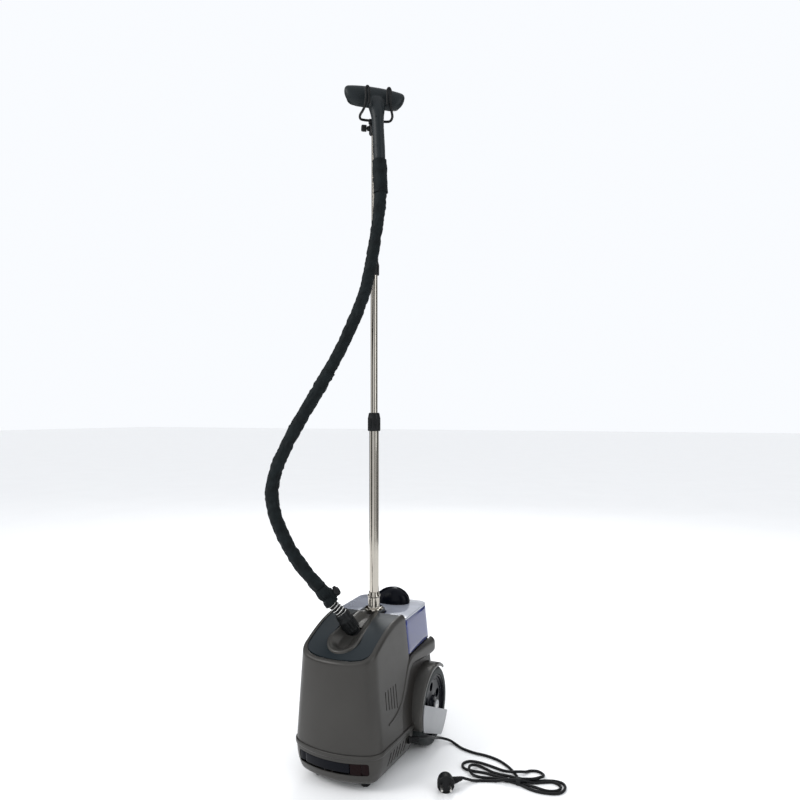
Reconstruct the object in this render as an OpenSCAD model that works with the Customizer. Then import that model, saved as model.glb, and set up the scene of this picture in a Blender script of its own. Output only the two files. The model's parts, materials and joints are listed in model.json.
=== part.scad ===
// Upright garment steamer: wheeled base with a lift-out water tank, telescopic mast,
// handset holder and a fabric-covered steam hose. Millimetres, +Z up, front towards -Y.
// The origin is on the floor, under the middle of the machine.

/* [Base] */
// Depth from the front of the skirt to the back of the tyres
base_d = 378; // [366:1:450]
// Width of the body at the skirt, just ahead of the wheels
body_w = 238; // [216:2:246]
// Width of the body at its rounded front corners
nose_w = 210; // [190:2:214]
// Height of the deck that carries the mast
deck_h = 333; // [325:1:400]
// Height of the shell's rim at the front
rim_h = 279; // [270:1:290]
// Height of the line where the front shell meets the skirt
belt_h = 88; // [84:1:96]
// Wall of the plastic shells
shell_t = 3; // [2.5:0.5:3.5]
// Air under the base tray
ground_gap = 20; // [16:1:24]
// Diameter of each front foot
foot_d = 24; // [18:1:30]

/* [Wheels] */
// Diameter of the rear wheels
wheel_d = 184; // [150:2:188]
// Width over the outer faces of both tyres
track_w = 274; // [268:2:300]
// Width of a tyre
tyre_w = 54; // [44:1:56]
// Diameter of the axle
axle_d = 10; // [8:1:14]
// Thickness of a fender band
fender_t = 5; // [3:0.5:6]

/* [Water tank] */
// Height of the tank's floor above the ground
tank_floor_h = 240; // [232:1:250]
// Height of the tank's flat top
tank_top_h = 323; // [318:1:326]
// Wall of the tank
tank_t = 2.5; // [2:0.5:3.5]
// Length of the grip dome across the machine
grip_l = 94; // [70:2:110]
// Height of the grip dome above the tank
grip_h = 38; // [28:1:48]

/* [Mast] */
// Diameter of the lower tube
lower_d = 23; // [22:0.5:26]
// Diameter of the middle tube
mid_d = 17; // [16:0.5:18]
// Diameter of the upper tube
upper_d = 13; // [12:0.5:13.5]
// Wall of the tubes
tube_t = 1; // [0.8:0.1:1.2]
// Height of the lower tube's top end
lower_top_h = 795; // [720:5:900]
// Height of the middle tube's top end
mid_top_h = 1170; // [1120:5:1190]
// Height of the upper tube's top end
upper_top_h = 1532; // [1520:1:1560]
// Diameter of the lower locking barrel
lower_lock_d = 31; // [28:1:36]
// Diameter of the upper locking barrel
upper_lock_d = 25; // [22:1:30]

/* [Handset] */
// Length of the steam head
head_l = 145; // [130:1:170]
// Height of the steam head
head_h = 46; // [40:1:52]
// Thickness of the steam head
head_t = 32; // [28:1:34]
// Diameter of the handle
handle_d = 31; // [28:1:34]
// Distance from the mast to the handle
handle_reach = 60; // [56:1:66]
// Turn of the holder about the mast, in degrees
holder_turn = 33; // [20:1:45]
// Diameter of the holder's wire
wire_d = 6; // [5:0.5:6.5]

/* [Hose and cord] */
// Diameter of the hose in its fabric sleeve
sleeve_d = 29; // [26:1:32]
// Diameter of the bare corrugated hose
hose_d = 25; // [22:1:26]
// Diameter of the connector nut
nut_d = 37; // [35:1:42]
// Length of the connector nut
nut_l = 50; // [44:1:54]
// Lean of the hose connector from upright, in degrees
nut_lean = 33; // [25:1:36]
// Diameter of the mains cord
cord_d = 6; // [5:0.5:7]
// Diameter of the plug body
plug_d = 37; // [35:1:40]

/* [Hidden] */

$fn = 64;
eps = 0.01;
far = 400;
tall = 1700;

// Clearances: between moulded pieces, around a turning or sliding piece, and in a running fit
gap = 0.5;
slide_gap = 1;
run_fit = 0.05;

// Plan of the body: front arc, front corners, flared sides, parallel rear
front_y = -base_d / 2;
belt_proud = 3;
front_arc_r = 200;
nose_corner_r = 38;
rear_corner_r = 25;
wheel_y = base_d / 2 - wheel_d / 2;
wheel_r = wheel_d / 2;
mast_y = wheel_y - 58;
side_y = 0;
rear_y = wheel_y + 71;
nose_lean = 18;
side_lean = 27;
front_lean = 8;
taper_span = deck_h - belt_h;

function taper(h) = (h - belt_h) / taper_span;
function arc(cx, cy, r, a0, a1, n, skip = 0) =
    [for (i = [skip:n]) let (a = a0 + (a1 - a0) * i / n) [cx + r * sin(a), cy - r * cos(a)]];
function half_plan(h, inset) =
    let (
        t = max(taper(h), 0),
        fy = front_y + belt_proud + front_lean * t + inset,
        hf = nose_w / 2 - nose_lean * t - inset,
        hm = body_w / 2 - side_lean * t - inset,
        rc = max(nose_corner_r - inset, 8),
        rr = max(rear_corner_r - inset, 5),
        a1 = asin((hf - rc) / (front_arc_r - rc)),
        yc = fy + front_arc_r,
        cy = yc - (front_arc_r - rc) * cos(a1),
        flare = atan((hm - hf) / (side_y - cy))
    )
    concat(
        arc(0, yc, front_arc_r, 0, a1, 4),
        arc(hf - rc, cy, rc, a1, 90 - flare, 5, 1),
        [[hm, side_y]],
        arc(hm - rr, rear_y - inset - rr, rr, 90, 180, 3)
    );
function plan(h, inset) =
    let (half = half_plan(h, inset), n = len(half))
    concat(half, [for (i = [n - 1:-1:1]) [-half[i].x, half[i].y]]);

// A closed solid through plan sections given as [height, inset]
module body_solid(sections) {
    rings = [for (s = sections) [for (p = plan(s[0], s[1])) [p.x, p.y, s[0]]]];
    n = len(rings[0]);
    m = len(rings);
    polyhedron(
        points = [for (ring = rings) each ring],
        faces = concat(
            [[for (i = [0:n - 1]) i]],
            [[for (i = [n - 1:-1:0]) (m - 1) * n + i]],
            [for (k = [0:m - 2], i = [0:n - 1])
                [k * n + i, (k + 1) * n + i, (k + 1) * n + (i + 1) % n]],
            [for (k = [0:m - 2], i = [0:n - 1])
                [k * n + i, (k + 1) * n + (i + 1) % n, k * n + (i + 1) % n]]
        )
    );
}

// Rim: low at the front, rising along a quarter sine wave to the deck
rim_y0 = front_y + 14;
rim_y1 = rim_y0 + 170;
function rim(y) = let (t = min(max((y - rim_y0) / (rim_y1 - rim_y0), 0), 1))
    rim_h + (deck_h - rim_h) * sin(90 * t);
rim_steps = 10;
function rim_line(drop) = concat(
    [[front_y - far, rim_h - drop]],
    [for (i = [0:rim_steps]) let (y = rim_y0 + (rim_y1 - rim_y0) * i / rim_steps) [y, rim(y) - drop]],
    [[far, deck_h - drop]]
);

// Extrudes a side-view outline, drawn in Y and Z, from x0 to x1
module slab_x(x0, x1) {
    translate([x0, 0, 0]) rotate([90, 0, 90]) linear_extrude(x1 - x0) children();
}
module above_rim(drop) {
    slab_x(-far, far) polygon(concat(rim_line(drop), [[far, 2 * far], [front_y - far, 2 * far]]));
}
module below_rim(drop) {
    slab_x(-far, far) polygon(concat(rim_line(drop), [[far, -far], [front_y - far, -far]]));
}
module rod_x(x0, x1, d, y, z) {
    translate([x0, y, z]) rotate([0, 90, 0]) cylinder(h = x1 - x0, d = d);
}
module both_sides() {
    children();
    mirror([1, 0, 0]) children();
}
module ring(d_out, d_in, h) {
    difference() {
        cylinder(h = h, d = d_out);
        translate([0, 0, -eps]) cylinder(h = h + 2 * eps, d = d_in);
    }
}

// Smooth curve through hand-chosen points, and a round tube along it
function unit(v) = v / norm(v);
function curve_point(p, i, t) =
    let (
        n = len(p) - 1,
        a = p[max(i - 1, 0)], b = p[i], c = p[min(i + 1, n)], d = p[min(i + 2, n)]
    )
    0.5 * (2 * b + (c - a) * t + (2 * a - 5 * b + 4 * c - d) * t * t
        + (3 * b - a - 3 * c + d) * t * t * t);
function curve(p, steps) = concat(
    [for (i = [0:len(p) - 2], k = [0:steps - 1]) curve_point(p, i, k / steps)],
    [p[len(p) - 1]]
);
function tangent(p, i) = unit(p[min(i + 1, len(p) - 1)] - p[max(i - 1, 0)]);
function square_to(v, t) = unit(v - (v * t) * t);
function side_dirs(p, v, i = 0) =
    i == len(p) ? [] :
    let (w = square_to(v, tangent(p, i))) concat([w], side_dirs(p, w, i + 1));
module tube(p, d, sides, start = [1, 0.3, 0.1]) {
    dirs = side_dirs(p, start);
    n = len(p);
    polyhedron(
        points = [for (i = [0:n - 1], k = [0:sides - 1])
            let (u = dirs[i], v = cross(tangent(p, i), u), a = 360 * k / sides)
            p[i] + d / 2 * (u * cos(a) + v * sin(a))],
        faces = concat(
            [[for (k = [sides - 1:-1:0]) k]],
            [[for (k = [0:sides - 1]) (n - 1) * sides + k]],
            [for (i = [0:n - 2], k = [0:sides - 1])
                [i * sides + k, i * sides + (k + 1) % sides, (i + 1) * sides + k]],
            [for (i = [0:n - 2], k = [0:sides - 1])
                [i * sides + (k + 1) % sides, (i + 1) * sides + (k + 1) % sides,
                 (i + 1) * sides + k]]
        )
    );
}

// Seam between the front shell and the rear housing, from the tank's corner to the belt
seam = [[12, 236], [4, 222], [-10, 198], [-24, 175], [-38, 150], [-47, 120], [-50, belt_h - 1]];
// Raised shoulder: broad under the tank, then narrowing as it sweeps down and forward over
// the seam. Its upper and lower edges, in Y and Z
trim_top = [
    [rear_y - 5, 236.5], [60, 236.5], [26, 234.5], [4, 223], [-13, 201], [-29, 177],
    [-48, 155], [-76, 139], [-108, 131]
];
trim_low = [
    [rear_y - 5, 202], [100, 203], [60, 210], [26, 214], [10, 206], [-4, 190], [-19, 168],
    [-42, 147], [-73, 132], [-108, 127]
];
trim_proud = 1.5;
shoulder_out = 15;

// Upright vents in the shell and slanted ones in the skirt
vent_y = front_y + 74;
vent_pitch = 12;
vent_low = 163;
vent_top = 203;
louvre_y = front_y + 77;
louvre_pitch = 14;
louvre_low = 41;

// Wheel wells
well_gap = 3;
fender_r = wheel_r + well_gap + fender_t;
well_x = track_w / 2 - tyre_w - 5;
side_at_well = body_w / 2 - side_lean * taper(wheel_r) - 4;
fender_from = 52;
fender_to = 192;
wheel_x = track_w / 2 - tyre_w;
guard_gap = 2;
guard_t = 2.5;

// Foot pedal and indicator window in the skirt's front recess
strip_low = 43;
strip_high = 70;
strip_half = 84;
pedal_end = 44;
pedal_travel = 4;

// Hose outlet: pivot at the floor of the bezel's dish, lean direction to the left and front
outlet_y = mast_y - 98;
outlet_h = deck_h - 36;
lean_dir = 214;
nut_from = 13;
bezel_front_r = 38;
bezel_rear_r = 26;
bezel_rim = 9;
bezel_drop = 20;
panel_drop = 4;
panel_t = 2.5;

// Mast
socket_flange_d = 46;
socket_d = 30;
socket_top = deck_h + 31;
socket_foot = deck_h - 45;
mid_overlap = 95;
upper_overlap = 100;
lower_foot = socket_foot;
bush_l = 36;
lock_skirt = 31;
lock_lip = 14;

// Pillar under the mast and the notch that the tank leaves for it
pillar_d = 52;
notch_d = pillar_d + 8;
bay_front = mast_y - 27;
valve_y = wheel_y + 30;

// Handset
handle_top = upper_top_h - 5;
handle_foot = handle_top - 124;
head_mid_h = upper_top_h + 26;
head_mid_y = -42;

// Steam hose route, from inside the handset's cuff down to the hose connector
hose_upper = [
    [36.6, -8.8, 1398], [38.6, -7.8, 1340], [37.5, -12, 1285], [33, -19, 1235], [27, -23, 1190],
    [20, -28, 1142], [11, -34, 1095], [-4, -41, 1048], [-22, -49, 1002], [-42, -58, 955],
    [-65, -68, 908]
];
hose_lower = [
    [-66, -68, 906], [-89, -79, 862], [-114, -91, 815], [-138, -103, 768], [-159, -113, 722],
    [-176, -122, 675], [-183, -128, 629], [-176, -131, 584], [-159, -129, 539],
    [-135, -123, 493], [-105, -113, 448], [-71, -101, 407]
];
hem_route = [[-71, -101, 407], [-59, -95, 389], [-47, -88, 371]];
stub_route = [[-47, -88, 371], [-37, -83, 360], [-28, -78, 350], [-19, -72, 333]];
hem_d = 33;

// Mains cord: from the gland ahead of the right wheel, round the wheel and over the floor
cord_route = [
    [133, -5, 60], [140, 3, 59], [146, 14, 56], [149, 30, 49], [149, 50, 38],
    [149, 68, 28], [150, 87, 20], [157, 103, 12], [172, 111, 6],
    [190, 104, 3], [208, 93, 3], [238, 85, 3], [272, 83, 3], [303, 74, 3], [328, 57, 3]
];
plug_lead = [[282, -22, 3], [270, -30, 5], [259, -38, 10], [250, -46, 15]];
bundle_outline = [
    [328, 57], [338, 60], [352, 46], [372, 62], [392, 68], [410, 58], [413, 42], [440, 46],
    [462, 40], [468, 20], [462, -6], [440, -18], [400, -18], [364, -12], [330, -14],
    [282, -26], [256, -18], [244, 0], [228, 20], [226, 44], [242, 54], [290, 50], [318, 44]
];
bundle_h = 16;
plug_at = [224, -80, plug_d / 2];
plug_turn = 22;

steel_grey = [0.30, 0.29, 0.28];
slate = [0.20, 0.25, 0.28];
satin = [0.48, 0.48, 0.47];
brown_grey = [0.24, 0.22, 0.20];
jet = [0.05, 0.06, 0.07];
chrome_grey = [0.80, 0.79, 0.76];
tank_blue = [0.25, 0.32, 0.62, 0.6];
cloth = [0.10, 0.13, 0.14];

// ---- Base ----

module well_cuts(clearance) {
    both_sides() rod_x(well_x, far, 2 * (fender_r + clearance), wheel_y, wheel_r);
}
module well_space() {
    // Everything outboard of the inner wheel walls, from the floor up to just under the axle
    both_sides() translate([well_x, wheel_y - fender_r - gap, -1])
        cube([far, far, wheel_r - 7]);
}

module base_tray() {
    color(brown_grey) difference() {
        union() {
            difference() {
                body_solid([[ground_gap, 20], [ground_gap + 4, 15], [ground_gap + 14, 8]]);
                body_solid([[ground_gap + 4, 19], [ground_gap + 15, 8 + shell_t]]);
            }
            for (x = [-40, 40], y = [outlet_y - 30, outlet_y + 30])
                translate([x, y, ground_gap + 3]) cylinder(h = 60, d = 9);
        }
        well_cuts(gap);
        well_space();
        for (x = [-57, 57]) translate([x, front_y + 63, ground_gap - eps]) cylinder(h = 3, d = 8);
        translate([0, rear_y - 40, ground_gap - 1]) cylinder(h = 8, d = 16.4);
    }
}

module skirt_band() {
    skin = [[ground_gap + 14, 8], [48, 3.5], [62, 1], [74, 0], [belt_h - 8, 0],
        [belt_h - 5, -belt_proud], [belt_h, -belt_proud + 0.5]];
    color(steel_grey) difference() {
        body_solid(skin);
        body_solid([[ground_gap + 14 - eps, 8 + shell_t], [48, 3.5 + shell_t],
            [62, 1 + shell_t], [belt_h + eps, shell_t]]);
        translate([-far, wheel_y - fender_r - 1, 0]) cube([2 * far, far, far]);
        well_cuts(gap);
        translate(cord_route[0]) rotate([0, 90, 45]) translate([0, 0, -60]) cylinder(h = 60, d = 17.5);
        // Recess for the pedal and the indicator window
        translate([-strip_half, front_y - 10, strip_low])
            cube([2 * strip_half, 40, strip_high - strip_low]);
        // Slanted vents low on both sides
        both_sides() for (i = [0:5])
            translate([80, louvre_y + louvre_pitch * i, louvre_low]) rotate([18, 0, 0])
                cube([50, 4, 28]);
    }
}

module front_region(grow) {
    slab_x(-far, far) polygon(concat(
        [[-far, belt_h - 1], [-far, far], [bay_front + grow, far]],
        [for (p = seam) p + [grow, 0]]));
}
module front_shell() {
    color(steel_grey) difference() {
        intersection() {
            body_solid([[belt_h + gap, 0], [170, 0], [250, 0], [deck_h + 1, 0]]);
            front_region(0);
        }
        body_solid([[belt_h, shell_t], [170, shell_t], [250, shell_t], [deck_h + 2, shell_t]]);
        above_rim(0);
        // Upright vent slots high on both sides
        both_sides() for (i = [0:4])
            translate([70, vent_y + vent_pitch * i, vent_low - 3.5 * i])
                cube([60, 3, vent_top - vent_low + 3.5 * i]);
    }
}

module rear_housing() {
    roof = tank_floor_h - 7;
    ahead = wheel_y - fender_r - 1 + gap;
    color(brown_grey) difference() {
        union() {
            difference() {
                body_solid([[ground_gap + 14, 8], [62, 1], [belt_h, 1], [roof, 1]]);
                body_solid([[ground_gap + 13, 8 + shell_t], [62, 1 + shell_t],
                    [belt_h, 1 + shell_t], [roof + 1, 1 + shell_t]]);
            }
            // Inner wheel walls, with bosses for the axle
            intersection() {
                body_solid([[ground_gap + 14, 8 + shell_t - 1], [62, shell_t],
                    [belt_h, shell_t], [roof, shell_t]]);
                both_sides() translate([well_x - shell_t, ahead - 3, 0]) cube([shell_t + 4, far, far]);
            }
            both_sides() rod_x(well_x - 20, well_x - 0.5, axle_d + 14, wheel_y, wheel_r);
        }
        well_cuts(gap);
        well_space();
        rod_x(-far, far, axle_d + 2 * run_fit, wheel_y, wheel_r);
        front_region(gap);
        translate([-far, -far, -far]) cube([2 * far, far + ahead, far + belt_h + gap]);
    }
}

// Plan outline of one side's shoulder from y0 to y1, its outer face at x0 and then x1
module shoulder_step(z, y0, y1, x0, x1, corner) {
    translate([0, 0, z]) linear_extrude(eps)
        polygon([[0, y0], [x0, y0], [x1, y1 - corner], [x1 - corner, y1], [0, y1]]);
}
module shoulder() {
    low_z = belt_h + 37;
    high_z = tank_floor_h;
    low_x = body_w / 2 - side_lean * taper(low_z) + trim_proud;
    high_x = body_w / 2 - side_lean * taper(high_z) + trim_proud;
    front = front_y + 74;
    // Ahead of the widest line it follows the body; behind it, it swells over the wheel
    hull() {
        shoulder_step(low_z, front, side_y, low_x - 10.5, low_x, eps);
        shoulder_step(high_z, front, side_y, high_x - 7, high_x, eps);
    }
    hull() {
        shoulder_step(low_z, side_y - eps, rear_y - 1, low_x, low_x + 4, 10);
        shoulder_step(high_z, side_y - eps, rear_y - 1, high_x, high_x + shoulder_out, 10);
    }
}
module side_trims() {
    n = len(trim_low);
    color(satin) difference() {
        intersection() {
            both_sides() shoulder();
            slab_x(-far, far) polygon(concat(trim_top, [for (i = [n - 1:-1:0]) trim_low[i]]));
        }
        body_solid([[belt_h, -2 * run_fit], [170, -2 * run_fit], [250, -2 * run_fit],
            [deck_h, -2 * run_fit]]);
        well_cuts(gap);
        translate([-60, -far, 0]) cube([120, 2 * far, far]);
    }
}

module vent_screens() {
    color(jet) both_sides() {
        intersection() {
            difference() {
                body_solid([[belt_h, shell_t + gap], [170, shell_t + gap], [250, shell_t + gap]]);
                body_solid([[belt_h, shell_t + 2], [170, shell_t + 2], [251, shell_t + 2]]);
            }
            translate([60, vent_y - 5, vent_low - 20])
                cube([80, 4 * vent_pitch + 13, vent_top - vent_low + 25]);
        }
        intersection() {
            difference() {
                body_solid([[38, 7.5 + shell_t], [62, 1.5 + shell_t], [82, shell_t + 0.5]]);
                body_solid([[37, 9.5 + shell_t], [62, 3.5 + shell_t], [83, shell_t + 2.5]]);
            }
            translate([60, louvre_y - 14, 38]) cube([80, 5 * louvre_pitch + 20, 34]);
        }
    }
}

module teardrop(grow) {
    hull() {
        translate([0, outlet_y - 57]) circle(r = bezel_front_r + grow);
        translate([0, mast_y - 54]) circle(r = bezel_rear_r + grow);
    }
}
module top_panel() {
    color(slate) difference() {
        intersection() {
            body_solid([[belt_h, shell_t + gap], [170, shell_t + gap], [250, shell_t + gap],
                [deck_h + 2, shell_t + gap]]);
            below_rim(panel_drop);
            union() {
                slab_x(-far, far) polygon([[-far, 0], [-far, far], [bay_front - gap, far],
                    [bay_front - gap, 0]]);
                translate([0, mast_y, 0]) cylinder(h = far, d = pillar_d);
                translate([-pillar_d / 2, bay_front - 2, 0]) cube([pillar_d, mast_y - bay_front + 2, far]);
            }
        }
        below_rim(panel_drop + panel_t);
        translate([0, 0, rim_h - 60]) linear_extrude(far) teardrop(gap);
        translate([0, mast_y, 0]) cylinder(h = far, d = socket_d + 2 * gap);
        nut_clearance();
    }
}
module nut_clearance() {
    lean() translate([0, 0, nut_from - slide_gap]) cylinder(h = 90, d = nut_d + 2 * slide_gap);
    lean() translate([0, 0, -4]) cylinder(h = 30, d = 32);
}
module outlet_bezel() {
    color(satin) difference() {
        intersection() {
            translate([0, 0, rim_h - 40]) linear_extrude(far) teardrop(0);
            below_rim(-2);
        }
        difference() {
            translate([0, 0, rim_h - 60]) linear_extrude(far) teardrop(-bezel_rim);
            below_rim(bezel_drop);
        }
        below_rim(bezel_drop + panel_t);
        difference() {
            below_rim(panel_drop + 2);
            translate([0, 0, rim_h - 60]) linear_extrude(far) teardrop(-bezel_rim + panel_t);
        }
        nut_clearance();
    }
}

module tank_bay() {
    bay_low = tank_floor_h - 6;
    color(brown_grey) difference() {
        union() {
            // Floor of the bay
            intersection() {
                body_solid([[bay_low - 4, shell_t + 2], [tank_floor_h, shell_t + 2]]);
                translate([-far, bay_front + gap, bay_low])
                    cube([2 * far, far, shell_t]);
            }
            // Wall between the bay and the hose side
            intersection() {
                body_solid([[bay_low - 4, shell_t + gap], [deck_h + 1, shell_t + gap]]);
                translate([-far, bay_front, bay_low])
                    cube([2 * far, shell_t, deck_h - panel_drop - panel_t - bay_low - 1]);
            }
            translate([0, mast_y, bay_low])
                cylinder(h = deck_h - panel_drop - panel_t - bay_low, d = pillar_d);
            translate([0, valve_y, bay_low - 18]) cylinder(h = 20, d = 56);
        }
        translate([0, mast_y, bay_low - 1]) cylinder(h = far, d = socket_d + 2 * run_fit);
        translate([0, valve_y, bay_low - 15]) cylinder(h = far, d = 50);
        translate([0, valve_y, bay_low - 30]) cylinder(h = far, d = 8 + 2 * gap);
    }
}

module foot_pedal() {
    color(jet) intersection() {
        difference() {
            body_solid([[strip_low - 4, 3.5], [62, 2], [strip_high + 4, 1]]);
            body_solid([[strip_low - 5, 20], [strip_high + 5, 18]]);
        }
        translate([-strip_half + gap, front_y - 10, strip_low + pedal_travel + gap])
            cube([strip_half + pedal_end - 2 * gap, 90, strip_high - strip_low - pedal_travel - 2 * gap]);
        translate([-far, -far, 0]) cube([2 * far, far + front_y + 62, far]);
    }
}
module pedal_spring() {
    foot = ground_gap + 14.1;
    color(chrome_grey) for (x = [-18, -2])
        translate([x, front_y + 18, foot]) ring(6, 4, strip_low + pedal_travel - foot);
}
module indicator_lens() {
    color([0.25, 0.05, 0.06]) intersection() {
        difference() {
            body_solid([[strip_low - 4, 4], [62, 2], [strip_high + 4, 1.5]]);
            body_solid([[strip_low - 5, 8], [62, 6], [strip_high + 5, 5]]);
        }
        translate([pedal_end + gap, front_y - 10, strip_low + gap])
            cube([strip_half - pedal_end - 2 * gap, 90, strip_high - strip_low - 2 * gap]);
    }
}

module front_feet() {
    color(jet) for (x = [-57, 57]) translate([x, front_y + 63, 0]) {
        difference() {
            cylinder(h = ground_gap - eps, d1 = foot_d - 4, d2 = foot_d);
            translate([0, 0, -eps]) cylinder(h = 6, d = foot_d - 12);
        }
        cylinder(h = ground_gap + 2.9, d = 8 - 2 * run_fit);
    }
}

module drain_plug() {
    color(jet) translate([0, rear_y - 40, 0]) {
        translate([0, 0, ground_gap]) cylinder(h = 6, d = 16);
        difference() {
            translate([0, 0, ground_gap - 6]) cylinder(h = 6, d = 22);
            translate([-2, -8, ground_gap - 7]) cube([4, 16, 4]);
        }
    }
}

// ---- Wheels ----

module sector(r, a0, a1) {
    polygon(concat([[0, 0]], [for (i = [0:8]) let (a = a0 + (a1 - a0) * i / 8)
        1.5 * r * [cos(a), sin(a)]]));
}
module fender() {
    intersection() {
        union() {
            difference() {
                rod_x(well_x + gap, track_w / 2 + 3, 2 * fender_r, wheel_y, wheel_r);
                rod_x(well_x, far, 2 * (fender_r - fender_t), wheel_y, wheel_r);
            }
            difference() {
                rod_x(track_w / 2 + 1, track_w / 2 + 3, 2 * fender_r, wheel_y, wheel_r);
                rod_x(track_w / 2, far, 2 * (fender_r - fender_t - 4), wheel_y, wheel_r);
            }
        }
        translate([0, wheel_y, wheel_r]) slab_x(0, far) sector(fender_r, fender_from, fender_to);
    }
}
module fenders() {
    color(satin) both_sides() fender();
}

guard_slope = -26;
module wheel_guard() {
    inner = track_w / 2 + 1 + guard_gap;
    difference() {
        translate([0, wheel_y, wheel_r]) slab_x(inner, inner + guard_t)
            union() {
                intersection() {
                    circle(r = fender_r - fender_t - 4.3);
                    rotate(guard_slope) translate([-far / 2, -62]) square([far, 58]);
                }
                circle(d = axle_d + 18);
            }
        rod_x(0, far, axle_d + 2 * run_fit, wheel_y, wheel_r);
    }
}
module wheel_guards() {
    color([0.78, 0.78, 0.79]) both_sides() wheel_guard();
}
module axle() {
    half = track_w / 2 + 1 + guard_gap + guard_t;
    color(chrome_grey) {
        rod_x(-half, half, axle_d, wheel_y, wheel_r);
    }
}
module tyre_right() {
    color([0.16, 0.17, 0.17]) translate([wheel_x, wheel_y, wheel_r]) rotate([0, 90, 0])
        rotate_extrude() polygon([
            [wheel_r - 20, 0], [wheel_r - 6, 0], [wheel_r - 2, 3], [wheel_r, 9],
            [wheel_r, tyre_w - 9], [wheel_r - 2, tyre_w - 3], [wheel_r - 6, tyre_w],
            [wheel_r - 20, tyre_w]
        ]);
}
module tyre_left() {
    mirror([1, 0, 0]) tyre_right();
}
module wheel_disc_right() {
    rim_r = wheel_r - 20;
    color(jet) difference() {
        translate([wheel_x, wheel_y, wheel_r]) rotate([0, 90, 0]) rotate_extrude() polygon([
            [axle_d / 2 + run_fit, 4], [18, 4], [18, 30], [rim_r - 8, 30], [rim_r - 8, 3],
            [rim_r, 3], [rim_r, tyre_w - 2], [rim_r - 5, tyre_w - 2], [rim_r - 8, tyre_w - 8],
            [22, tyre_w - 8], [18, tyre_w - 1], [axle_d / 2 + run_fit, tyre_w - 1]
        ]);
        for (a = [0:72:359]) translate([0, wheel_y, wheel_r]) rotate([a, 0, 0])
            rod_x(wheel_x + 26, far, 20, 0, rim_r * 0.62);
    }
}
module wheel_disc_left() {
    mirror([1, 0, 0]) wheel_disc_right();
}

// ---- Steam generator ----

boiler_h = 74;
boiler_d = 112;
module boiler() {
    foot = ground_gap + 63;
    color([0.62, 0.62, 0.62]) translate([0, outlet_y, foot]) difference() {
        union() {
            cylinder(h = boiler_h, d = boiler_d);
            translate([0, 0, boiler_h - 8]) cylinder(h = 6, d = boiler_d + 16);
            translate([0, 0, boiler_h - eps]) cylinder(h = 12, d = 24);
        }
        translate([0, 0, 10]) cylinder(h = boiler_h - 16, d = boiler_d - 16);
        translate([0, 0, boiler_h - 20]) cylinder(h = far, d = 14);
        translate([0, boiler_d / 2 - 20, 24]) rotate([-90, 0, 0]) cylinder(h = 40, d = 8);
    }
}
module heating_element() {
    color([0.45, 0.42, 0.38]) translate([0, outlet_y, ground_gap + 80])
        rotate_extrude() translate([boiler_d / 2 - 22, 0]) circle(d = 9, $fn = 24);
}
module water_pipe() {
    z = ground_gap + 63 + 24;
    start = [0, outlet_y + boiler_d / 2 + 1, z];
    color([0.75, 0.75, 0.72]) {
        tube(curve([start, start + [0, 14, 2], start + [0, 34, 20], [0, valve_y - 20, 190],
            [0, valve_y, 206], [0, valve_y, tank_floor_h - 24.5]], 3), 8, 10);
    }
}
module steam_pipe() {
    foot = ground_gap + 63 + boiler_h + 12.2;
    color([0.75, 0.75, 0.72]) translate([0, outlet_y, foot])
        ring(20, 14, outlet_h - 22 - foot);
}
module control_board() {
    color([0.08, 0.35, 0.2]) translate([-45, front_y + 24, 120]) {
        cube([90, 1.6, 60]);
        for (x = [10, 34, 62]) translate([x, 1.6, 14]) cube([16, 12, 24]);
    }
}

// ---- Hose connector ----

module lean() {
    translate([0, outlet_y, outlet_h]) rotate([0, nut_lean, lean_dir]) children();
}
module outlet_spigot() {
    color([0.3, 0.3, 0.31]) difference() {
        union() {
            translate([0, outlet_y, outlet_h - 21]) cylinder(h = 21, d = 27);
            translate([0, outlet_y, outlet_h]) sphere(d = 31);
            lean() cylinder(h = nut_from - gap, d = 28);
            lean() cylinder(h = 40, d = hose_d - 3);
        }
        lean() translate([0, 0, 3]) cylinder(h = far, d = 15);
        translate([0, outlet_y, outlet_h - 30]) cylinder(h = 34, d = 13);
    }
}
module connector_nut() {
    flutes = 18;
    color(jet) lean() difference() {
        union() {
            translate([0, 0, nut_from]) cylinder(h = nut_l * 0.62, d = nut_d);
            translate([0, 0, nut_from + nut_l * 0.62]) cylinder(h = nut_l * 0.1, d1 = nut_d, d2 = nut_d - 3);
            translate([0, 0, nut_from + nut_l * 0.72]) cylinder(h = nut_l * 0.28, d = nut_d - 3);
        }
        translate([0, 0, nut_from - 1]) cylinder(h = nut_l + 2, d = hose_d + 2);
        for (i = [0:flutes - 1]) rotate(360 * i / flutes)
            translate([nut_d / 2 + 0.6, 0, nut_from + 4]) cylinder(h = nut_l * 0.5, d = 3.6);
    }
}
module hose_stub() {
    color(chrome_grey) tube(curve(stub_route, 2), hose_d, 16);
}
module sleeve_hem() {
    color(cloth) tube(curve(hem_route, 2), hem_d, 12);
}
lock_at = hem_route[1] + [21, 9, 12];
module cord_lock() {
    color(jet) translate(lock_at) rotate([0, 30, lean_dir]) difference() {
        translate([-7, -8, -11]) cube([14, 16, 18]);
        translate([0, 0, -3]) cylinder(h = 20, d = 9);
    }
}
module lock_button() {
    color(jet) translate(lock_at) rotate([0, 30, lean_dir])
        translate([0, 0, 1.5]) cylinder(h = 10, d = 8.4);
}
module sleeve_lower() {
    color(cloth) tube(curve(hose_lower, 1), sleeve_d, 12);
}
module sleeve_upper() {
    color(cloth) tube(curve(hose_upper, 1), sleeve_d - 2, 12);
}

// ---- Water tank ----

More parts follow.
